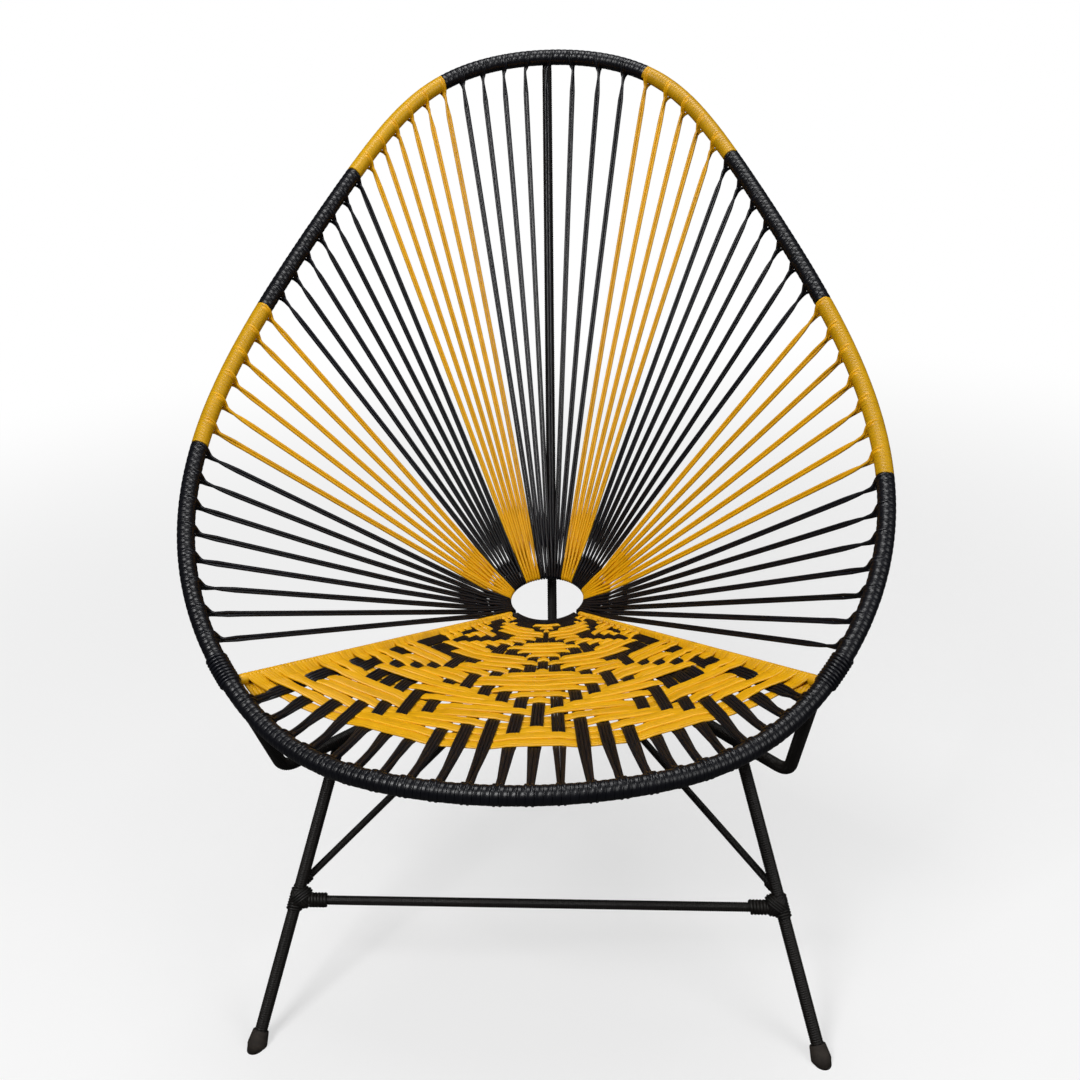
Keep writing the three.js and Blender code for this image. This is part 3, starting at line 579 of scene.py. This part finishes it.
def backPair(distance, slotAngle, hand):
    centre, way, _, _ = (a[0] for a in rimFrames(np.array([distance])))
    ringCentre = ringPoint(slotAngle, ring["radius"])
    inward = unit(squareTo(ringCentre - centre, way))
    front = np.cross(way, inward)
    if front @ (backCord["inFront"] - centre) < 0:
        front = -front
    upward = unit(ringPoint(slotAngle, 0, 1.0) - ringPoint(slotAngle, 0))
    upRim = 1 if distance < rimTop else -1

    def atRim(along, depth, lift):
        return centre + way * upRim * along + inward * depth + front * lift

    def roundRim(along, radius, degrees, face=1):
        angle = math.radians(degrees)
        return atRim(along, radius * math.cos(angle), face * radius * math.sin(angle))

    # the turn of the rim's cord slants down into the neck in front, and goes straight down behind
    def web(slant, face):
        return ([roundRim(slant * up, radius, angle, face) for up, radius, angle in backCord["rimTurn"]]
                + [atRim(slant * up, depth, face * out) for up, depth, out in backCord["web"]])

    neck = atRim(0, backCord["neckDepth"], 0)
    run = ringCentre - neck
    length = np.linalg.norm(run)
    toRim = -run / length
    across = unit(np.cross(run, front))
    lift = unit(np.cross(across, run))
    x = np.linspace(0, 1, backCord["runPoints"])[:-1]
    fromNeck, toRing = x * length, (1 - x) * length
    twist = hand * (np.pi / 2) * np.minimum(ease(fromNeck / backCord["untwist"]),
                                            ease((toRing - backCord["gathered"]) / backCord["gather"]))
    ringLift = unit(squareTo(upward, toRim))
    near = (1 - ease(toRing / backCord["level"]))[:, None]
    liftHere = unit(lift * (1 - near) + ringLift * near)
    acrossHere = unit(np.cross(liftHere, run))
    parted = 1 - ease((toRing - backCord["parted"]) / backCord["part"])
    gap = backCord["radius"] + (backCord["loopRadius"] - backCord["radius"]) * parted
    offset = turned(liftHere, acrossHere, twist) * gap[:, None]
    middle = neck + run * x[:, None]
    frontStrand, rearStrand = middle + offset, middle - offset
    loop = ringCentre + turned(toRim, ringLift, np.radians(backCord["loop"])) * backCord["loopRadius"]
    frontWeb = smoothPath(web(backCord["slant"], 1) + [frontStrand[0]])[:-1]
    rearWeb = smoothPath([rearStrand[0]] + web(backCord["rearSlant"], -1)[::-1])[1:]
    hitch = smoothPath([roundRim(*place) for place in backCord["hitch"]]
                       + [atRim(*place) for place in backCord["hitchEnd"]])
    hitchWide = np.linspace(*backCord["hitchWide"], len(hitch))
    pair = np.concatenate([frontWeb, frontStrand, loop, rearStrand[::-1], rearWeb])
    return [cord(pair, backCord["radius"]), cord(hitch, hitchWide, backCord["hitchThick"], side=way)]


slotAngles = 180 + back["slotAngle"] * (np.arange(len(knots)) - (len(knots) - 1) / 2)
for i, name in enumerate(sectionNames):
    pairs = []
    for k in range(sectionFirst[i], sectionFirst[i + 1]):
        pairs += backPair(knots[k], slotAngles[k], 1 if randomDraws.random() < 0.5 else -1)
    look = sectionLooks[i]
    cordMesh("backCord." + name, pairs, look["strung"], "back_cord_" + name)
print("back strung")


# yellow weft, woven across and turned round the two edge bundles
weft = {
    "strandsPerRow": 4, "rowFill": 0.97, "wide": 2.5, "lap": 1.42, "thick": 1.2,
    "lift": 1.5, "dive": 0.42, "lengthLift": 0.3, "rearLift": 0.4,
    "shingle": (-0.75, -0.15, 0.3, 0.5),  # each row's rear strands are tucked under the row behind
    # how far rows stray, part and overlap, in row pitches
    "wander": 0.035, "waves": ((1.0, 0.6), (0.6, 1.3)), "mostGap": 0.02, "mostLap": 0.25, "push": 0.4,
    # they close up before they turn round the edge
    "pinch": 0.36, "pinchAt": 10.75, "pinchOver": 0.5,
    "edgeAt": 11.6, "edgeLevel": 0.5, "edgeLine": 11.9, "edgeRadius": 4.6,
    "edgeTurn": (95, 70, 40, 10, -20, -50, -80, -110), "tailLine": 11.3, "tailBelow": 3.6,
    "longest": 6, "stepsPerWarp": 5, "leastSteps": 6, "gridPoints": 233, "gridWindow": 7,
}
edgeTie = {
    "turns": 5, "stepsPerTurn": 16, "wide": 2.0, "tightened": 0.5, "behindFront": 0.004, "fromRim": 10.5,
}
pressedSection = cordSection(2.6)
strays = randomDraws.uniform(0, 2 * np.pi, (rows, 2))


def strayed(place, row, warps):
    middle = row + 0.5
    pinch = weft["pinch"] * np.exp(-((np.abs(warps) - weft["pinchAt"]) / weft["pinchOver"]) ** 2)
    stray = weft["wander"] * sum(height * np.sin(rate * warps + strays[row, k])
                                 for k, (height, rate) in enumerate(weft["waves"]))
    return middle + (place - middle) * (1 - pinch) + stray * np.minimum(1, edgeWarp - np.abs(warps))


def heldAt(place, warp):
    share = weftShare(place, warp)
    for _ in range(4):
        line = float(bowed(warp, share))
        share = float(weftShare(place, line))
    return share, line


# where a taut strand between two held places crosses the line of each warp, seen from above
def straightShare(lines, first, last):
    a, b = seatPoint(*first)[:2], seatPoint(*last)[:2]
    rear, front = seatPoint(0, lines)[:, :2], seatPoint(1, lines)[:, :2]
    way, along, off = b - a, front - rear, a - rear
    return (off[:, 0] * way[1] - off[:, 1] * way[0]) / (along[:, 0] * way[1] - along[:, 1] * way[0])


# stretches of a row that lie over or under the same side of the warps, none longer than a few warps
def rowStretches(row):
    runs = []
    for warp in warpNumbers:
        if runs and warpOnTop(row, warp) == runs[-1][2]:
            runs[-1][1] = warp
        else:
            runs.append([warp, warp, warpOnTop(row, warp)])
    stretches = []
    for first, last, under in runs:
        low = -weft["edgeAt"] if first == -lastWarp else first - 0.5
        high = weft["edgeAt"] if last == lastWarp else last + 0.5
        stops = np.linspace(low, high, math.ceil((last - first + 1) / weft["longest"]) + 1)
        stretches += [(a, b, low, high, under) for a, b in zip(stops[:-1], stops[1:])]
    return stretches


# how far each row is pulled straight, towards the ring; neighbours push each other along
warpGrid = np.linspace(-weft["edgeAt"], weft["edgeAt"], weft["gridPoints"])
pulled = np.zeros((rows, len(warpGrid)))
for row in range(rows):
    for start, stop, _, _, _ in rowStretches(row):
        first, last = heldAt(row + 0.5, start), heldAt(row + 0.5, stop)
        here = (warpGrid >= start) & (warpGrid <= stop)
        line = first[1] + (last[1] - first[1]) * (warpGrid[here] - start) / (stop - start)
        pulled[row, here] = straightShare(line, first, last) - weftShare(row + 0.5, line)
for _ in range(3):
    padded = np.concatenate([pulled[:1] * 0, pulled, pulled[-1:]])
    pulled = 0.5 * padded[1:-1] + 0.25 * (padded[:-2] + padded[2:])
rowPitches = np.array([weftShare(row + 1.5, warpGrid) - weftShare(row + 0.5, warpGrid)
                       for row in range(rows - 1)])
for _ in range(40):
    apart = (pulled[1:] - pulled[:-1]) / rowPitches
    push = np.maximum(apart - weft["mostGap"], 0) + np.minimum(apart + weft["mostLap"], 0)
    pulled[:-1] += push * rowPitches * weft["push"]
    pulled[1:] -= push * rowPitches * weft["push"]
pulled = np.array([smoothed(row, [1] * weft["gridWindow"]) for row in pulled])


def weftPath(place, row):
    warps, lifts = [], []
    edge = weft["edgeAt"]
    for start, stop, low, high, under in rowStretches(row):
        steps = max(weft["leastSteps"], int((stop - start) * weft["stepsPerWarp"]))
        t = np.linspace(0, 1, steps + 1)
        t = t if stop == edge else t[:-1]
        at = start + (stop - start) * t
        fromEnds = np.minimum(at - low if low > -edge else np.inf, high - at if high < edge else np.inf)
        dive = ease(fromEnds / weft["dive"])
        if under:
            lifts.append(-weft["lift"] * dive * ease((edge - np.abs(at)) / weft["edgeLevel"]))
        else:
            towardsFront = weft["rearLift"] + (1 - weft["rearLift"]) * place / rows
            longer = weft["lengthLift"] * towardsFront * (stop - start - 1)
            lifts.append((weft["lift"] + longer * np.sin(np.pi * t)) * dive)
        warps.append(at)
    warps, lifts = np.concatenate(warps), np.concatenate(lifts)
    pull = np.interp(warps, warpGrid, pulled[row])
    places = strayed(place, row, warps)
    shares = weftShare(places, warps) + pull
    for _ in range(3):
        lines = bowed(warps, shares)
        shares = weftShare(places, lines) + pull
    return warps, lines, shares, lifts


def weftCord(row, strand):
    place = row + 0.5 + ((strand + 0.5) / weft["strandsPerRow"] - 0.5) * weft["rowFill"]
    _, lines, shares, lifts = weftPath(place, row)
    lifts = lifts + weft["shingle"][strand]
    points = seatPoint(shares, lines) + seatNormal(shares, lines) * lifts[:, None]
    ends = []
    for side, _ in hands:
        at = weftShare(place, edgeWarp)
        centre, normal, outward = edgeFrame(at, side, 0.5)
        arc = centre + turned(outward, normal, np.radians(weft["edgeTurn"])) * weft["edgeRadius"]
        tail = seatPoint(at, side * weft["tailLine"]) - normal * weft["tailBelow"]
        ends.append(np.concatenate([arc, [tail]]))
    points = np.concatenate([ends[0][::-1], points, ends[1]])
    turnPoints = len(ends[0])
    lines = np.pad(lines, turnPoints, constant_values=(-weft["edgeLine"], weft["edgeLine"]))
    shares = np.pad(shares, turnPoints, mode="edge")
    rowPitch = np.linalg.norm(seatPoint(weftShare(row + 1, lines), lines)
                              - seatPoint(weftShare(row, lines), lines), axis=1)
    wide = np.minimum(weft["wide"], rowPitch / weft["strandsPerRow"] / 2 * weft["lap"])
    return cord(points, wide, weft["thick"], side=unit(seatWays(shares, lines)[0]))


weftCords = [weftCord(row, strand) for row in range(rows) for strand in range(weft["strandsPerRow"])]
# the last of the yellow, wound on round the edge bundle up to the rim
for side, _ in hands:
    share = np.linspace(float(weftShare(float(rows), edgeWarp)) - edgeTie["behindFront"],
                        1 - edgeTie["fromRim"] / float(seatLength(edgeWarp)),
                        edgeTie["turns"] * edgeTie["stepsPerTurn"])
    turn = np.linspace(0, 1, len(share))
    centre, normal, outward = edgeFrame(share, side)
    out = turned(outward, normal, 2 * np.pi * edgeTie["turns"] * turn)
    radius = weft["edgeRadius"] - edgeTie["tightened"] * turn
    weftCords.append(cord(centre + out * radius[:, None], edgeTie["wide"], weft["thick"],
                          side=unit(np.gradient(centre, axis=0))))
cordMesh("seatWeft", weftCords, yellowPvc,
         ["seat_weft_upper", "seat_weft_lower", "edge_wrap_left", "edge_wrap_right"], pressedSection)
# for every row the share at which it crosses each warp, and half its height there
rowAtWarp, rowHalf = np.zeros((2, rows, seat["warps"]))
for row in range(rows):
    across, lines, shares, _ = weftPath(row + 0.5, row)
    rowAtWarp[row] = np.interp(warpNumbers, across, shares)
    lines = np.interp(warpNumbers, across, lines)
    rowHalf[row] = (weftShare(row + 1, lines) - weftShare(row, lines)) / 2
print("weft woven")


# seat warps: flat black bundles from the ring to the rim
bundle = {
    "strands": 4, "width": 13.0, "fill": 0.92, "thick": 1.35, "leastHalf": 0.5,
    "neck": 17.0, "neckGap": 1.7, "neckRise": 0.9, "neckHalf": 1.85, "narrowing": 0.9,
    "ends": 23.0, "step": 2.2, "lift": 0.85, "levelOver": 0.06, "smoothing": (1, 2, 3, 2, 1),
    "ringTurn": (250, 225, 200, 175, 150, 120, 95),  # round the ring, from under it
    # round the rim, told as for the back cords
    "rimTurn": ((2.4, 10.9, 18), (2.7, 9.3, 45), (2.7, 8.7, 80), (2.7, 8.3, 112), (2.7, 7.4, 145)),
    "rimHalf": 1.6, "rimThick": 1.5,
}


def warpCords(warp):
    length = seatLength(warp)
    endShare = 1 - bundle["neck"] / length
    steps = int((length - bundle["ends"]) / bundle["step"])
    share = np.linspace(seat["firstRow"] / length, endShare, steps)
    line = bowed(warp, share)
    # down where a float of yellow lies over it, up elsewhere in the weave, level in front of it
    rowAt, half = rowAtWarp[:, warp + lastWarp], rowHalf[:, warp + lastWarp]
    height = np.full(len(share), bundle["lift"])
    for row in range(rows):
        if not warpOnTop(row, warp):
            height[np.abs(share - rowAt[row]) < half[row]] = -bundle["lift"]
    front = rowAt[-1] + half[-1]
    height[share > front] *= np.clip(1 - (share[share > front] - front) / bundle["levelOver"], 0, 1)
    lift = smoothed(height, bundle["smoothing"])
    spacing = np.linalg.norm(seatPoint(share, bowed(warp + 0.5, share))
                             - seatPoint(share, bowed(warp - 0.5, share)), axis=-1)
    width = np.minimum(bundle["width"], bundle["fill"] * spacing)
    narrow = np.clip((share - front) / (endShare - front), 0, 1) ** bundle["narrowing"]
    centre, normal = seatPoint(share, line), seatNormal(share, line)
    across = unit(seatWays(share, line)[1])
    start, rimCentre = seatPoint(0, warp), seatPoint(1, warp)
    way = unit(centre[2] - start)
    rimAcross = rimWay(warpEnds(warp)[1])
    inward = unit(squareTo(centre[-1] - rimCentre, rimAcross))
    over = np.cross(rimAcross, inward)
    over = over if over[2] > 0 else -over
    hand = 1 if randomDraws.random() < 0.5 else -1
    cords = []
    for m in range(bundle["strands"]):
        flat = (m + 0.5) / bundle["strands"] - 0.5
        # at the rim the four strands close up two over two
        beside, above = -1 if m < 2 else 1, hand * (1 if m in (0, 3) else -1)
        sideways = flat * width * (1 - narrow) + beside * bundle["neckGap"] * narrow
        raised = lift + above * bundle["neckGap"] * bundle["neckRise"] * narrow
        path = centre + across * sideways[:, None] + normal * raised[:, None]
        loop = turned(way, normal[0], np.radians(bundle["ringTurn"]))
        loop = start + loop * (ring["rodRadius"] + bundle["thick"]) + across[0] * sideways[0]
        ends = [rimCentre + rimAcross * beside * along
                + turned(inward, over * above, math.radians(angle)) * radius
                for along, radius, angle in bundle["rimTurn"]]
        ends = smoothPath([path[-1]] + ends)[1:]
        half = width / bundle["strands"] / 2
        wide = np.concatenate([np.full(len(loop), half[0]),
                               half * (1 - narrow) + bundle["neckHalf"] * narrow,
                               np.full(len(ends), bundle["rimHalf"])])
        wide = np.maximum(wide, bundle["leastHalf"])
        thick = np.full(len(wide), bundle["thick"])
        thick[-len(ends):] = bundle["rimThick"]
        sideOf = np.pad(across, ((len(loop), len(ends)), (0, 0)), mode="edge")
        cords.append(cord(np.concatenate([loop, path, ends]), wide, thick, side=sideOf))
    return cords


warpList = [strand for warp in warpNumbers for strand in warpCords(warp)]
cordMesh("seatWarps", warpList, blackPvc, "seat_warps", pressedSection)
print("warps strung")


# edge bundles, inside the turns of yellow
edgeBundle = {
    "strands": 4, "radius": 1.4, "apart": 1.5, "twist": 9.0, "points": 30,
    "fromRing": 3.5, "fromRim": 9.0,
}
for side, hand in hands:
    length = seatLength(side * edgeWarp)
    share = np.linspace(edgeBundle["fromRing"] / length, 1 - edgeBundle["fromRim"] / length,
                        edgeBundle["points"])
    centre, normal, outward = edgeFrame(share, side)
    strands = []
    for m in range(edgeBundle["strands"]):
        turn = 2 * np.pi * m / edgeBundle["strands"] + share * edgeBundle["twist"]
        strand = centre + turned(outward, normal, turn) * edgeBundle["apart"]
        strands.append(cord(strand, edgeBundle["radius"]))
    cordMesh("edgeBundle." + hand, strands, blackPvc, "edge_cord_" + hand)
print("edge bundles laid")


# where an arm meets the rim, a second layer of black cord
rimLashing = {
    "start": 327.4, "length": 33.6, "turns": 9.0, "stepsPerTurn": 18, "under": 7.5, "cordRadius": 1.7,
}
for side, hand in hands:
    x = np.linspace(0, 1, int(rimLashing["turns"] * rimLashing["stepsPerTurn"]))
    distance = side * (rimLashing["start"] + rimLashing["length"] * x)
    way = rimWay(distance) * side
    level = unit(np.cross(way, (0, 0, 1)))
    out = turned(level, unit(np.cross(level, way)), 2 * np.pi * rimLashing["turns"] * x)
    radius = rimLashing["cordRadius"]
    lashed = cord(rimPoint(distance) + out * (rimLashing["under"] + radius), radius)
    cordMesh("rimLashing." + hand, [lashed], blackPvc, "rim_lashing_" + hand)
print("rim lashed")


# base: thin cord wound on the rods, knots of it at the joints, rubber feet
base = {
    "hub": (0.0, 514.0, 243.0), "frontFoot": (290.0, 68.0, 0.0), "rearFoot": (0.0, 674.0, 0.0),
    "armTopAlongRim": 310.0, "armBend": (259.0, 190.0, 264.0), "armBendRadius": 26.0, "legAlongArm": 0.18,
    "crossbarDownLeg": 0.53, "braceAboveCrossbar": 16.0, "braceBelowHub": 12.0, "spineBehindRim": 8.0,
}
# each rod's radius, and how much of its start and end is left bare
rods = {
    "spine": (5.75, (14, 12)), "rearLeg": (6.35, (16, 15)), "arm": (6.35, (11, 16)),
    "leg": (6.35, (8, 15)), "brace": (3.75, (7, 20)), "crossbar": (4.75, (32, 32)),
}
# a winding's pitch, its cord's radius, and how high it stands on the rod
winding = {
    "rod": (2.35, 1.2, 0.42), "lashing": (3.4, 1.65, 3.3),
    "legKnot": (2.9, 1.5, 2.2), "crossbarKnot": (2.9, 1.5, 2.6), "braceKnot": (2.9, 1.5, 2.0),
    "stepsPerTurn": 12, "halfWidth": 0.54,
}
jointKnot = {
    # how far along each rod from the joint it is wound
    "leg": (-13.0, 10.0), "crossbar": (6.5, 17.0), "brace": (6.5, 15.0), "lashing": (15.0, 32.5),
    # rings of cord laid crosswise over the joint, both ways
    "alongBar": 4.0, "upLeg": 3.0, "steps": (-3.9, -1.3, 1.3, 3.9), "points": 33,
    "halfLength": 12.5, "rounding": 0.12, "halfDepth": 8.9, "deeper": 0.5, "cordRadius": 1.5,
}


def fromFront(place, side=1):
    return np.array([side * place[0], place[1] - rim["middle"], place[2]])


def windOn(points, rod, kind="rod", trims=(0, 0)):
    pitch, cordRadius, rise = winding[kind]
    points = np.asarray(points, float)
    reached = reachedAlong(points)
    at = np.arange(trims[0], reached[-1] - trims[1], pitch / winding["stepsPerTurn"])
    centre = placesAt(at, reached, points)
    out = turned(*carry(centre), 2 * np.pi * at / pitch)
    path = centre + out * (rods[rod][0] + rise - cordRadius)
    return cord(path, pitch * winding["halfWidth"], cordRadius,
                side=unit(np.gradient(centre, axis=0)), normal=out)


def windRod(name, points, rod):
    wound = windOn(points, rod, trims=rods[rod][1])
    cordMesh(name, [wound], baseCord, section=cordSection(sides=5))


def roundedPath(a, corner, b, radius):
    into, away = unit(corner - a), unit(b - corner)
    half = math.acos(float(into @ away)) / 2
    inner = unit(squareTo(away, into))
    centre = corner - into * radius * math.tan(half) + inner * radius
    arc = centre + turned(-inner, into, np.linspace(0, 2 * half, 13)) * radius
    return np.concatenate([[a], arc, [b]])


hub, rearFoot = fromFront(base["hub"]), fromFront(base["rearFoot"])
rimTopPoint = rimPoint(rimTop)
behind = np.cross(unit(rimTopPoint - hub), (1, 0, 0))
rearWay = unit(rearFoot - hub)
feet = [("rearFootCap", rearFoot, rearWay, "foot_rear")]
windRod("spineWinding", [hub, rimTopPoint + behind * base["spineBehindRim"]], "spine")
windRod("rearLegWinding", [hub, rearFoot], "rearLeg")
for side, hand in hands:
    armTop = rimPoint(side * base["armTopAlongRim"])
    armBend, foot = fromFront(base["armBend"], side), fromFront(base["frontFoot"], side)
    legTop = armBend + (hub - armBend) * base["legAlongArm"]
    crossing = legTop + (foot - legTop) * base["crossbarDownLeg"]
    legWay = unit(foot - legTop)
    braceFoot = crossing - legWay * base["braceAboveCrossbar"]
    braceTop = hub + rearWay * base["braceBelowHub"]
    feet.append(("frontFootCap." + hand, foot, legWay, "foot_front_" + hand))
    windRod("armWinding." + hand, roundedPath(armTop, armBend, hub, base["armBendRadius"]), "arm")
    windRod("legWinding." + hand, [legTop, foot], "leg")
    windRod("braceWinding." + hand, [braceFoot, braceTop], "brace")
    # the cord's end, wound thicker round the leg, the brace and the crossbar where they meet
    barWay = unit(crossing * (-1, 0, 0))
    knot = []
    for rod, joint, rodWay in (("leg", crossing, legWay), ("crossbar", crossing, barWay),
                               ("brace", braceFoot, unit(braceTop - braceFoot))):
        knot.append(windOn([joint + rodWay * reach for reach in jointKnot[rod]], rod, rod + "Knot"))
    facing = np.cross(legWay, barWay)
    middle = crossing + barWay * jointKnot["alongBar"] - legWay * jointKnot["upLeg"]
    for slope in (1, -1):
        long = unit(barWay - slope * legWay)
        short = unit(np.cross(facing, long))
        deep = facing * (jointKnot["halfDepth"] + jointKnot["deeper"] * slope)
        for step in jointKnot["steps"]:
            reach = jointKnot["halfLength"] - jointKnot["rounding"] * step ** 2
            around = turned(long * reach, deep, np.linspace(0, 2 * np.pi, jointKnot["points"]))
            knot.append(cord(middle + short * step + around, jointKnot["cordRadius"]))
    cordMesh("jointKnot." + hand, knot, baseCord)
    lashed = windOn([crossing + barWay * reach for reach in jointKnot["lashing"]], "crossbar", "lashing")
    cordMesh("crossbarLashing." + hand, [lashed], baseCord, "crossbar_lashing_" + hand)
windRod("crossbarWinding", [crossing * (-1, 1, 1), crossing], "crossbar")
print("base wound")


# moulded caps, turned round the leg's line and cut level on the floor
footCap = {
    "sides": 48,
    # from the top down: the radius, and the height along the leg
    "profile": ((6.0, 14.5), (6.9, 17.0), (7.7, 17.6), (8.3, 17.0), (8.8, 14.0), (9.5, 9.5), (10.1, 5.5),
                (10.3, 2.5), (9.7, 0.7), (8.9, 0.0)),
}


def addFootCap(name, foot, way, node):
    side = unit(np.cross(-way, (0, 1, 0)))
    sides, count = footCap["sides"], len(footCap["profile"])
    around = turned(side, np.cross(-way, side), np.linspace(0, 2 * np.pi, sides, endpoint=False))
    places = []
    for radius, height in footCap["profile"]:
        level = foot - way * height + around * radius
        below = level[:, 2:] if height == 0 else np.minimum(level[:, 2:], 0)
        places += list((level - way * below / way[2]) * mm)
    faces = [tuple(range(sides))[::-1], tuple(range((count - 1) * sides, count * sides))]
    for k in range((count - 1) * sides):
        beside = k + 1 if (k + 1) % sides else k + 1 - sides
        faces.append((k, beside, beside + sides, k + sides))
    mesh = bpy.data.meshes.new(name)
    mesh.from_pydata(places, [], faces)
    shape = bmesh.new()
    shape.from_mesh(mesh)
    bmesh.ops.recalc_face_normals(shape, faces=shape.faces)
    shape.to_mesh(mesh)
    shape.free()
    for face in mesh.polygons:
        face.use_smooth = len(face.vertices) == 4
    mesh.materials.append(footRubber)
    obj = addObject(name, mesh)
    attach(obj, "root")
    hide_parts(node)


for foot in feet:
    addFootCap(*foot)
print("feet capped")

for name in ("rim_rod", "hole_ring", "spine_rod", "rear_leg", "seat_arm_left", "seat_arm_right",
             "front_leg_left", "front_leg_right", "brace_left", "brace_right", "crossbar"):
    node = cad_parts[name]
    node.data.materials.clear()
    node.data.materials.append(steelEnamel)


# studio: white round the chair, the chair's shadow on the floor
studio = {
    "white": "#ffffff", "ambient": 0.06, "sky": "#f2f4f8", "aim": (0, 0, 0.4),
    "floorHalf": 6.0, "floor": "#f4f4f4", "bounce": "#505050",
    # away from the chair the floor turns as white as the background
    "nearGlow": 0.6, "fadeFrom": 0.7, "fadeTo": 2.4,
    # each lamp's place and size in metres, and its power in watts
    "lamps": {
        "key": ((-1.2, -1.9, 2.6), 1.0, 57.0),
        "fill": ((2.2, -1.6, 1.9), 1.4, 26.0),
        "top": ((0.2, 0.5, 3.0), 1.2, 34.0),
    },
}


# one shader where the camera sees it, and another for the light that it gives the chair
def seenAs(tree, shown, light):
    seen = addNode(tree, "LightPath").outputs["Is Camera Ray"]
    return addNode(tree, "MixShader", None, {"Fac": seen, 1: light, 2: shown}).outputs["Shader"]


def makeFloor():
    material, tree = newMaterial("paleFloor")
    diffuse = addNode(tree, "BsdfDiffuse", {"Color": linear(studio["floor"])})
    bounce = addNode(tree, "BsdfDiffuse", {"Color": linear(studio["bounce"])})
    glow = addNode(tree, "Emission", {"Color": linear(studio["white"]), "Strength": 1.0})
    where = addNode(tree, "NewGeometry")
    far = addNode(tree, "VectorMath", None, {0: where.outputs["Position"]}, operation="LENGTH")
    span = {"From Min": studio["fadeFrom"], "From Max": studio["fadeTo"], "To Min": studio["nearGlow"]}
    fade = addNode(tree, "MapRange", span, {"Value": far.outputs["Value"]},
                   interpolation_type="SMOOTHSTEP")
    shown = addNode(tree, "MixShader", None, {"Fac": fade.outputs["Result"], 1: diffuse.outputs["BSDF"],
                                              2: glow.outputs["Emission"]})
    surface = seenAs(tree, shown.outputs["Shader"], bounce.outputs["BSDF"])
    addNode(tree, "OutputMaterial", None, {"Surface": surface})
    half = studio["floorHalf"]
    corners = [(-half, -half, 0), (half, -half, 0), (half, half, 0), (-half, half, 0)]
    mesh = bpy.data.meshes.new("floor")
    mesh.from_pydata(corners, [], [(0, 1, 2, 3)])
    mesh.materials.append(material)
    floor = addObject("floor", mesh)


def makeWorld():
    world = bpy.data.worlds.new("studioWorld")
    bpy.context.scene.world = world
    world.use_nodes = True
    tree = world.node_tree
    tree.nodes.clear()
    shown = addNode(tree, "Background", {"Color": linear(studio["white"]), "Strength": 1.0})
    soft = addNode(tree, "Background", {"Color": linear(studio["sky"]), "Strength": studio["ambient"]})
    surface = seenAs(tree, shown.outputs["Background"], soft.outputs["Background"])
    addNode(tree, "OutputWorld", None, {"Surface": surface})


makeFloor()
makeWorld()
for name, (place, size, power) in studio["lamps"].items():
    data = bpy.data.lights.new(name + "Lamp", "AREA")
    data.energy, data.size, place = power, size, Vector(place)
    turn = (Vector(studio["aim"]) - place).to_track_quat("-Z", "Y").to_matrix().to_4x4()
    addObject(name + "Lamp", data).matrix_world = Matrix.Translation(place) @ turn
bpy.context.scene.view_settings.view_transform = "Standard"
print("studio lit")
